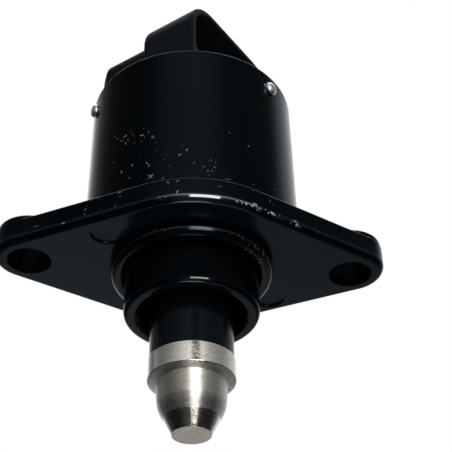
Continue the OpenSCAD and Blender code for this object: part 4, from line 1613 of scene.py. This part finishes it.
@dataclass
class Pintle:
    """The valve's moving end: the sleeve, the turned nose, the screw and the spring.

    Attributes:
        reach: distance from the mounting face to the nose's flat tip.
        collar_r: radius of the nose's collar.
        collar: heights of the collar's lower and upper end.
        nose_r: radius of the nose below the collar.
        nose_top: height where the nose starts below the collar.
        band: height of its nearly straight upper stretch.
        band_angle: how far that stretch leans, in degrees.
        arc_r: radius of the curve below it.
        cone_angle: how far the cone leans, in degrees.
        sleeve_r: the sleeve's radius.
        bore_r: radius of the sleeve's bore.
        sleeve_top: height of the sleeve's top.
        shoulder: height of the nose's inner shoulder.
        screw: the screw's radius and the height of its lower end.
        spring_wire: thickness of the spring's wire.
        spring_turns: how many turns it has.
        travel_in: how far the nose can slide in from its place in the model.
    """

    reach: float = 28.44
    collar_r: float = 6.48
    collar: tuple[float, float] = (-20.05, -16.7)
    nose_r: float = 5.2
    nose_top: float = -20.5
    band: float = 2.6
    band_angle: float = 3.0
    arc_r: float = 5.0
    cone_angle: float = 27.0
    sleeve_r: float = 6.26
    bore_r: float = 5.21
    sleeve_top: float = -4.8
    shoulder: float = -14.7
    screw: tuple[float, float] = (2.0, -22.0)
    spring_wire: float = 0.8
    spring_turns: int = 7
    travel_in: float = 6.5

    def nose_path(self) -> np.ndarray:
        """Draws the nose's half section: collar, undercut, curve, cone and flat tip.

        The curve is an arc between the upper stretch's slope and the cone's: its centre lies one
        arc radius inside the upper stretch's end, square to that slope.

        Returns:
            The closed path's points as rows of radius and height.
        """
        a, b = math.radians(self.band_angle), math.radians(self.cone_angle)
        centre_r = self.nose_r - self.band * math.tan(a) - self.arc_r * math.cos(a)
        centre_z = self.nose_top - self.band + self.arc_r * math.sin(a)
        bend = arc((centre_r, centre_z), self.arc_r, -self.band_angle, -self.cone_angle, 16)
        tip_r = bend[-1, 0] - (bend[-1, 1] + self.reach) * math.tan(b)
        low, high = self.collar
        head = rounded([(self.bore_r - 0.05, high, 0), (self.collar_r, high, 0.2), (self.collar_r, low, 0.14),
                        (self.nose_r + 0.05, self.nose_top, 0.12), (centre_r, centre_z, 0)], 4)
        head = head[head[:, 1] > self.nose_top - 0.001]
        tip = rounded([(tip_r, -self.reach, 0.1), (tip_r + 0.6, -self.reach + 0.6 / math.tan(b), 0),
                       (0, -self.reach, 0)], 4)[:5][::-1]
        screw_r, screw_low = self.screw
        socket_r = screw_r + 0.02
        inner = [(0, -self.reach), (0, screw_low), (socket_r, screw_low), (socket_r, self.shoulder),
                 (self.bore_r - 0.05, self.shoulder)]
        return np.vstack([head, bend, tip, inner])

    def build_nose(self) -> bpy.types.Object:
        """Builds the nose."""
        return smoothed(solid("pintle_nose", lathe(self.nose_path(), 160)), 24)

    def dress_nose(self, piece: bpy.types.Object) -> None:
        """Gives the nose its bands of turned nickel, and the collar a brighter cut.

        Args:
            piece: the nose.
        """
        nickel = (0.94, 0.89, 0.79)
        turned = TurnedMetal(nickel, 0.22, 0.012, 0.14, face=-self.reach + 0.04,
                             bands=((-20.2, 1.0, 0.18), (-23.9, 0.85, -0.03), (-26.0, 1.3, -0.22)))
        polished = TurnedMetal(nickel, 0.12, 0.004, 0.14, drawn=0.3)
        on_collar = face_table(piece)[0][:, 2] > self.collar[0]
        dressed(piece, turned.material("nose_nickel"), polished.material("collar_nickel"), kind=on_collar)

    def build_sleeve(self) -> bpy.types.Object:
        """Builds the sleeve, with a rounded upper rim and a small chamfer at its foot.

        Returns:
            The sleeve, not yet dressed.
        """
        foot, top = self.collar[1], self.sleeve_top
        path = rounded([(self.bore_r, foot, 0), (self.sleeve_r, foot, 0.12), (self.sleeve_r, top, 0.35),
                        (self.bore_r, top, 0.2)])
        return smoothed(solid("valve_sleeve", lathe(path, 160)), 40)

    def build_spring(self) -> bpy.types.Object:
        """Builds the spring: a round wire on a helix whose end turns lie closed.

        The height grows by a little over one wire in each end turn and evenly between them.

        Returns:
            The spring, not yet dressed.
        """
        low, high = span("pintle_spring")
        wire, turns = self.spring_wire, self.spring_turns
        mean = (high[0] - low[0] - wire) / 2
        bottom, top, closed = low[2] + wire / 2, high[2] - wire / 2, wire * 1.05
        turn = np.linspace(0, turns, turns * 36 + 1)
        z = np.interp(turn, [0, 1, turns - 1, turns], [bottom, bottom + closed, top - closed, top])
        path = np.column_stack([mean * np.cos(2 * math.pi * turn), mean * np.sin(2 * math.pi * turn), z])
        return smoothed(solid("return_spring", tube_along(path, wire / 2, 14)), 60)

    def squash_spring(self, spring: bpy.types.Object) -> None:
        """Gives the spring a mesh of its own; nothing squashes it.

        Args:
            spring: the spring.
        """
        low, high = span("pintle_spring")
        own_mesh(spring)


@dataclass
class Studio:
    """Camera, lamps, floor and background.

    Attributes:
        eye: the camera's place in millimetres.
        yaw: its turn from +Y towards +X in degrees.
        pitch: how far it looks up, in degrees.
        roll: its turn about its own axis in degrees.
        focal_pixels: its focal length in pixels.
        picture: the picture's width in pixels.
        floor_z: height of the floor in metres.
        floor_half: half of the floor's side in metres.
        ring_glow: azimuth and brightness of the card all round the part.
        front_glow: azimuth and brightness of the card in front.
        flag_glow: azimuth and brightness of the darker strip on that card.
    """

    eye: tuple[float, float, float] = (-10.226, -137.605, -94.972)
    yaw: float = 6.52
    pitch: float = 36.742
    roll: float = -1.308
    focal_pixels: float = 1076.3
    picture: int = 452
    floor_z: float = -0.135
    floor_half: float = 3.0
    ring_glow: tuple[tuple[float, float], ...] = (
        (-180, 1.25), (-166, 1.25), (-155, 0.8), (-145, 0.4), (-130, 0.13), (-112, 0.045), (-95, 0.03),
        (-82, 0.022), (-60, 0.025), (-50, 0.055), (-40, 0.1), (-30, 0.15), (-18, 0.19), (0, 0.23),
        (12, 0.21), (23, 0.14), (32, 0.09), (45, 0.055), (75, 0.04), (95, 0.045), (103, 0.13),
        (115, 0.34), (130, 0.55), (145, 0.75), (160, 0.88), (180, 1.2))
    front_glow: tuple[tuple[float, float], ...] = (
        (-120, 0.24), (-90, 0.15), (-70, 0.2), (-53, 0.33), (-37, 0.5), (-21, 0.72), (-6, 0.85),
        (12, 0.95), (25, 0.7), (41, 0.44), (58, 0.3), (77, 0.23), (100, 0.34), (120, 0.5))
    flag_glow: tuple[tuple[float, float], ...] = ((-6, 0.7), (1, 0.07), (7, 0.05), (14, 0.07), (20, 0.6))

    def camera(self) -> None:
        """Places the camera by its eye point and its three angles, with the lens's shift at none."""
        yaw, pitch, roll = (math.radians(v) for v in (self.yaw, self.pitch, self.roll))
        ahead = np.array([math.sin(yaw) * math.cos(pitch), math.cos(yaw) * math.cos(pitch), math.sin(pitch)])
        right = np.array([math.cos(yaw), -math.sin(yaw), 0.0])
        up = np.cross(right, ahead)
        side = math.cos(roll) * right + math.sin(roll) * up
        rise = math.cos(roll) * up - math.sin(roll) * right
        lens = bpy.data.cameras.new("camera")
        lens.sensor_width = 36.0
        lens.lens = self.focal_pixels / self.picture * lens.sensor_width
        lens.clip_start = 0.005
        eye = bpy.data.objects.new("camera", lens)
        matrix = np.eye(4)
        matrix[:3, :3] = np.column_stack([side, rise, -ahead])
        matrix[:3, 3] = np.array(self.eye) * MM
        eye.matrix_world = Matrix(matrix.tolist())
        bpy.context.scene.collection.objects.link(eye)
        bpy.context.scene.camera = eye

    def lamp(self, name: str, place: Triple, aim: Triple, size: tuple[float, float],
             power: float) -> bpy.types.Object:
        """Adds a soft rectangular lamp that faces a point.

        Args:
            name: the lamp's name.
            place: its middle in metres.
            aim: the point that it faces.
            size: its width and height in metres.
            power: its power in watts.

        Returns:
            The lamp.
        """
        light = bpy.data.lights.new(name, "AREA")
        light.shape = "RECTANGLE"
        light.size, light.size_y = size
        light.energy = power
        made = bpy.data.objects.new(name, light)
        way = Vector(aim) - Vector(place)
        made.matrix_world = Matrix.Translation(place) @ way.to_track_quat("-Z", "Y").to_matrix().to_4x4()
        made.visible_camera = False
        bpy.context.scene.collection.objects.link(made)
        return made

    def lamps(self) -> None:
        """Hangs a broad lamp over the part's back, and one in front that only glints show."""
        self.lamp("broad", (0.1, 0.3, 0.8), (0, 0, 0), (0.9, 0.9), 4.0)
        front = self.lamp("front", (0.039, -0.2975, -0.0275), (0, 0, -0.0275), (0.145, 0.195), 0.46)
        front.visible_diffuse = False

    def card(self, name: str, profile: Sequence[tuple[float, float]], glow: Sequence[tuple[float, float]],
             low_glow: float = 1.0) -> None:
        """Sets up a card round the part, which only its reflections show.

        The card is a profile swept round the axis. Its brightness follows the azimuth, and is lower
        below the part.

        Args:
            name: the card's name.
            profile: radius and height of each bend, in metres.
            glow: azimuth in degrees from the front and brightness there, from one end to the other.
            low_glow: share of the brightness that is left well below the part.
        """
        first, last, columns = glow[0][0], glow[-1][0], 73
        angle = np.radians(np.linspace(first, last, columns))[None, :]
        r, z = np.array(profile).T[:, :, None]
        points = np.stack([r * np.sin(angle), -r * np.cos(angle), z + 0 * angle], -1).reshape(-1, 3)
        made = solid(name, Surface(points / MM, quads(len(profile), columns, False, False)))
        dim, g = new_material(name)
        x, y, height = g.axes()
        turn = x.math("ARCTAN2", y * -1.0) * (180 / math.pi)
        place = (turn - first) / (last - first)
        stops = [((a - first) / (last - first), (b, b * 1.04, b * 1.1)) for a, b in glow]
        ramp = g.node("ShaderNodeValToRGB", {"stops": stops}, place)
        power = height.step(-60.0, 60.0) * (1 - low_glow) + low_glow
        lit = g.node("ShaderNodeEmission", None, ramp.outputs["Color"], power)
        g.node("ShaderNodeOutputMaterial", None, lit.outputs[0])
        dressed(made, dim)
        made.visible_camera = made.visible_diffuse = made.visible_shadow = False

    def floor(self) -> None:
        """Lays a plain pale floor below the part."""
        h, z = self.floor_half, self.floor_z
        corners = np.array([[-h, -h, z], [h, -h, z], [h, h, z], [-h, h, z]])
        plate = solid("floor", Surface(corners / MM, [[0, 1, 2, 3]]))
        pale, g = new_material("floor_pale")
        g.finish(Base_Color=g.blend(g.noise(30.0, 3), (0.8, 0.8, 0.8), (0.84, 0.84, 0.84)), Roughness=0.9)
        dressed(plate, pale)

    def world(self) -> None:
        """Makes the background white to the camera and in reflections, and a softer grey as light."""
        world = bpy.data.worlds.new("studio")
        world.use_nodes = True
        bpy.context.scene.world = world
        g = Graph(world.node_tree)
        ray = g.node("ShaderNodeLightPath")
        seen = Value(g, ray.outputs["Is Camera Ray"]).top(Value(g, ray.outputs["Is Glossy Ray"]))
        seen = seen.top(Value(g, ray.outputs["Is Transmission Ray"]))
        sky = g.node("ShaderNodeBackground", None, (1.0, 1.0, 1.0), seen * 0.5 + 0.5)
        g.node("ShaderNodeOutputWorld", None, sky.outputs[0])

    def build(self) -> None:
        """Sets up the whole studio."""
        self.camera()
        self.lamps()
        near, far, ground = 0.02, 0.6, self.floor_z + 0.003
        self.card("ring_card", ((near, ground), (far, ground), (far, 0.0), (far, 0.25), (far, 1.4)),
                  self.ring_glow, 0.22)
        self.card("front_card", ((0.57, 0.03), (0.57, 0.36)), self.front_glow)
        self.card("front_flag", ((0.56, 0.25), (0.56, 0.345)), self.flag_glow)
        self.card("ceiling_card", ((near, 1.4), (far, 1.4)), ((-180, 0.9), (180, 0.9)))
        self.floor()
        self.world()


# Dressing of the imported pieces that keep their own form


@dataclass
class Insides:
    """The motor, the bearing and the screw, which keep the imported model's form."""

    def finishes(self) -> dict[str, bpy.types.Material]:
        """Makes the materials of the inner pieces.

        Returns:
            Each piece's material by its node's name.
        """
        steel = PlainMetal((0.55, 0.56, 0.58), 0.32, (1.0, 1.0, 0.2)).material("stator_zinc")
        ground = PlainMetal((0.7, 0.7, 0.72), 0.16, (1.0, 1.0, 0.15), 0.002).material("bearing_steel")
        nylon = Moulding((0.72, 0.68, 0.56), 0.45).material("bobbin_nylon")
        acetal = Moulding((0.75, 0.72, 0.64), 0.35).material("hub_acetal")
        brass = PlainMetal((0.76, 0.55, 0.24), 0.25, (1.0, 1.0, 0.2)).material("turned_brass")
        copper = WoundWire().material("winding_wire")
        spring = PlainMetal((0.6, 0.61, 0.63), 0.22).material("spring_steel")
        rows = {
            "stator_cup_front": steel, "stator_cup_rear": steel, "pole_plate_front": steel,
            "pole_plate_rear": steel, "bobbin_front": nylon, "bobbin_rear": nylon,
            "winding_front": copper, "winding_rear": copper,
            "rotor_magnet": Moulding((0.05, 0.05, 0.052), 0.6, 0.5, grain=0.02).material("magnet_ferrite"),
            "rotor_hub": acetal, "drive_nut": brass, "bearing_cage": brass, "wave_washer": spring,
            "rear_bush": PlainMetal((0.5, 0.34, 0.18), 0.45).material("bush_bronze"),
            "bearing_outer_race": ground, "bearing_inner_race": ground,
            "guide_bush": Moulding((0.05, 0.04, 0.03), 0.4).material("guide_acetal"),
            "lead_screw": TurnedMetal((0.62, 0.63, 0.65), 0.3, 0.08, 0.5).material("screw_steel"),
        }
        rows.update({name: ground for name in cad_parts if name.startswith("bearing_ball")})
        return rows

    def dress(self) -> None:
        """Puts each finish on its node."""
        for name, finish in self.finishes().items():
            dressed(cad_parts[name], finish)
            LOG.info("%s keeps its form, in %s", name, finish.name)


def place(piece: bpy.types.Object, body: Body, slot: str, *nodes: str) -> None:
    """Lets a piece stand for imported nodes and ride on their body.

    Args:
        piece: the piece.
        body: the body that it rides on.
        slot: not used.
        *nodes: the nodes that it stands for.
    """
    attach(piece, body.value)
    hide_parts(*nodes)
    LOG.info("%s: %d faces, on %s", piece.name, len(piece.data.polygons), body.value)


def main() -> None:
    """Builds and dresses every piece, then the studio."""
    logging.basicConfig(level=logging.INFO, format="%(message)s")
    bpy.context.scene.view_settings.view_transform = "Standard"

    casting = Casting()
    body = casting.build()
    casting.dress(body)
    place(body, Body.HOUSING, "body_enamel", "valve_body")

    plug_cap = PlugCap()
    cap = plug_cap.build()
    plug_cap.dress(cap)
    place(cap, Body.HOUSING, "connector_plastic", "connector_cap")

    bright = PlainMetal((0.82, 0.83, 0.84), 0.4).material("pin_steel")
    pins = DrivePins()
    for index in range(pins.count):
        pin = pins.build(index)
        dressed(pin, bright)
        place(pin, Body.HOUSING, "pin_steel", f"cap_pin_{index + 1}")

    tin = PlainMetal((0.7, 0.68, 0.64), 0.3).material("terminal_tin")
    blades = Terminals()
    for index in range(blades.count):
        blade = blades.build(index)
        dressed(blade, tin)
        place(blade, Body.HOUSING, "terminal_tin", f"terminal_{index + 1}")

    rings = Rings()
    for name, node, flash, dust in (("spigot_ring", "body_o_ring", 0.03, 0.9),
                                    ("plug_seal", "cap_seal", 0.02, 0.0)):
        ring = rings.build(name, node, flash)
        dressed(ring, Rubber(dust=dust).material(f"{name}_rubber"))
        place(ring, Body.HOUSING, "seal_rubber", node)

    pintle = Pintle()
    sleeve = pintle.build_sleeve()
    # The bluish sheen is a painted reflection colour that stands in for bluish light.
    satin = Moulding((0.0004, 0.0009, 0.0013), gloss=0.2, shine=0.17, sheen=(0.62, 0.86, 1.0), grain=0.006,
                     scuffs=0.2)
    dressed(sleeve, satin.material("sleeve_satin"))
    place(sleeve, Body.PINTLE, "sleeve_plastic", "pintle_sleeve")

    nose = pintle.build_nose()
    pintle.dress_nose(nose)
    place(nose, Body.PINTLE, "nose_nickel", "pintle_tip")

    spring = pintle.build_spring()
    dressed(spring, PlainMetal((0.6, 0.61, 0.63), 0.22).material("spring_wire"))
    place(spring, Body.HOUSING, "spring_steel", "pintle_spring")
    pintle.squash_spring(spring)

    Insides().dress()
    Studio().build()


if __name__ == "__main__":
    main()
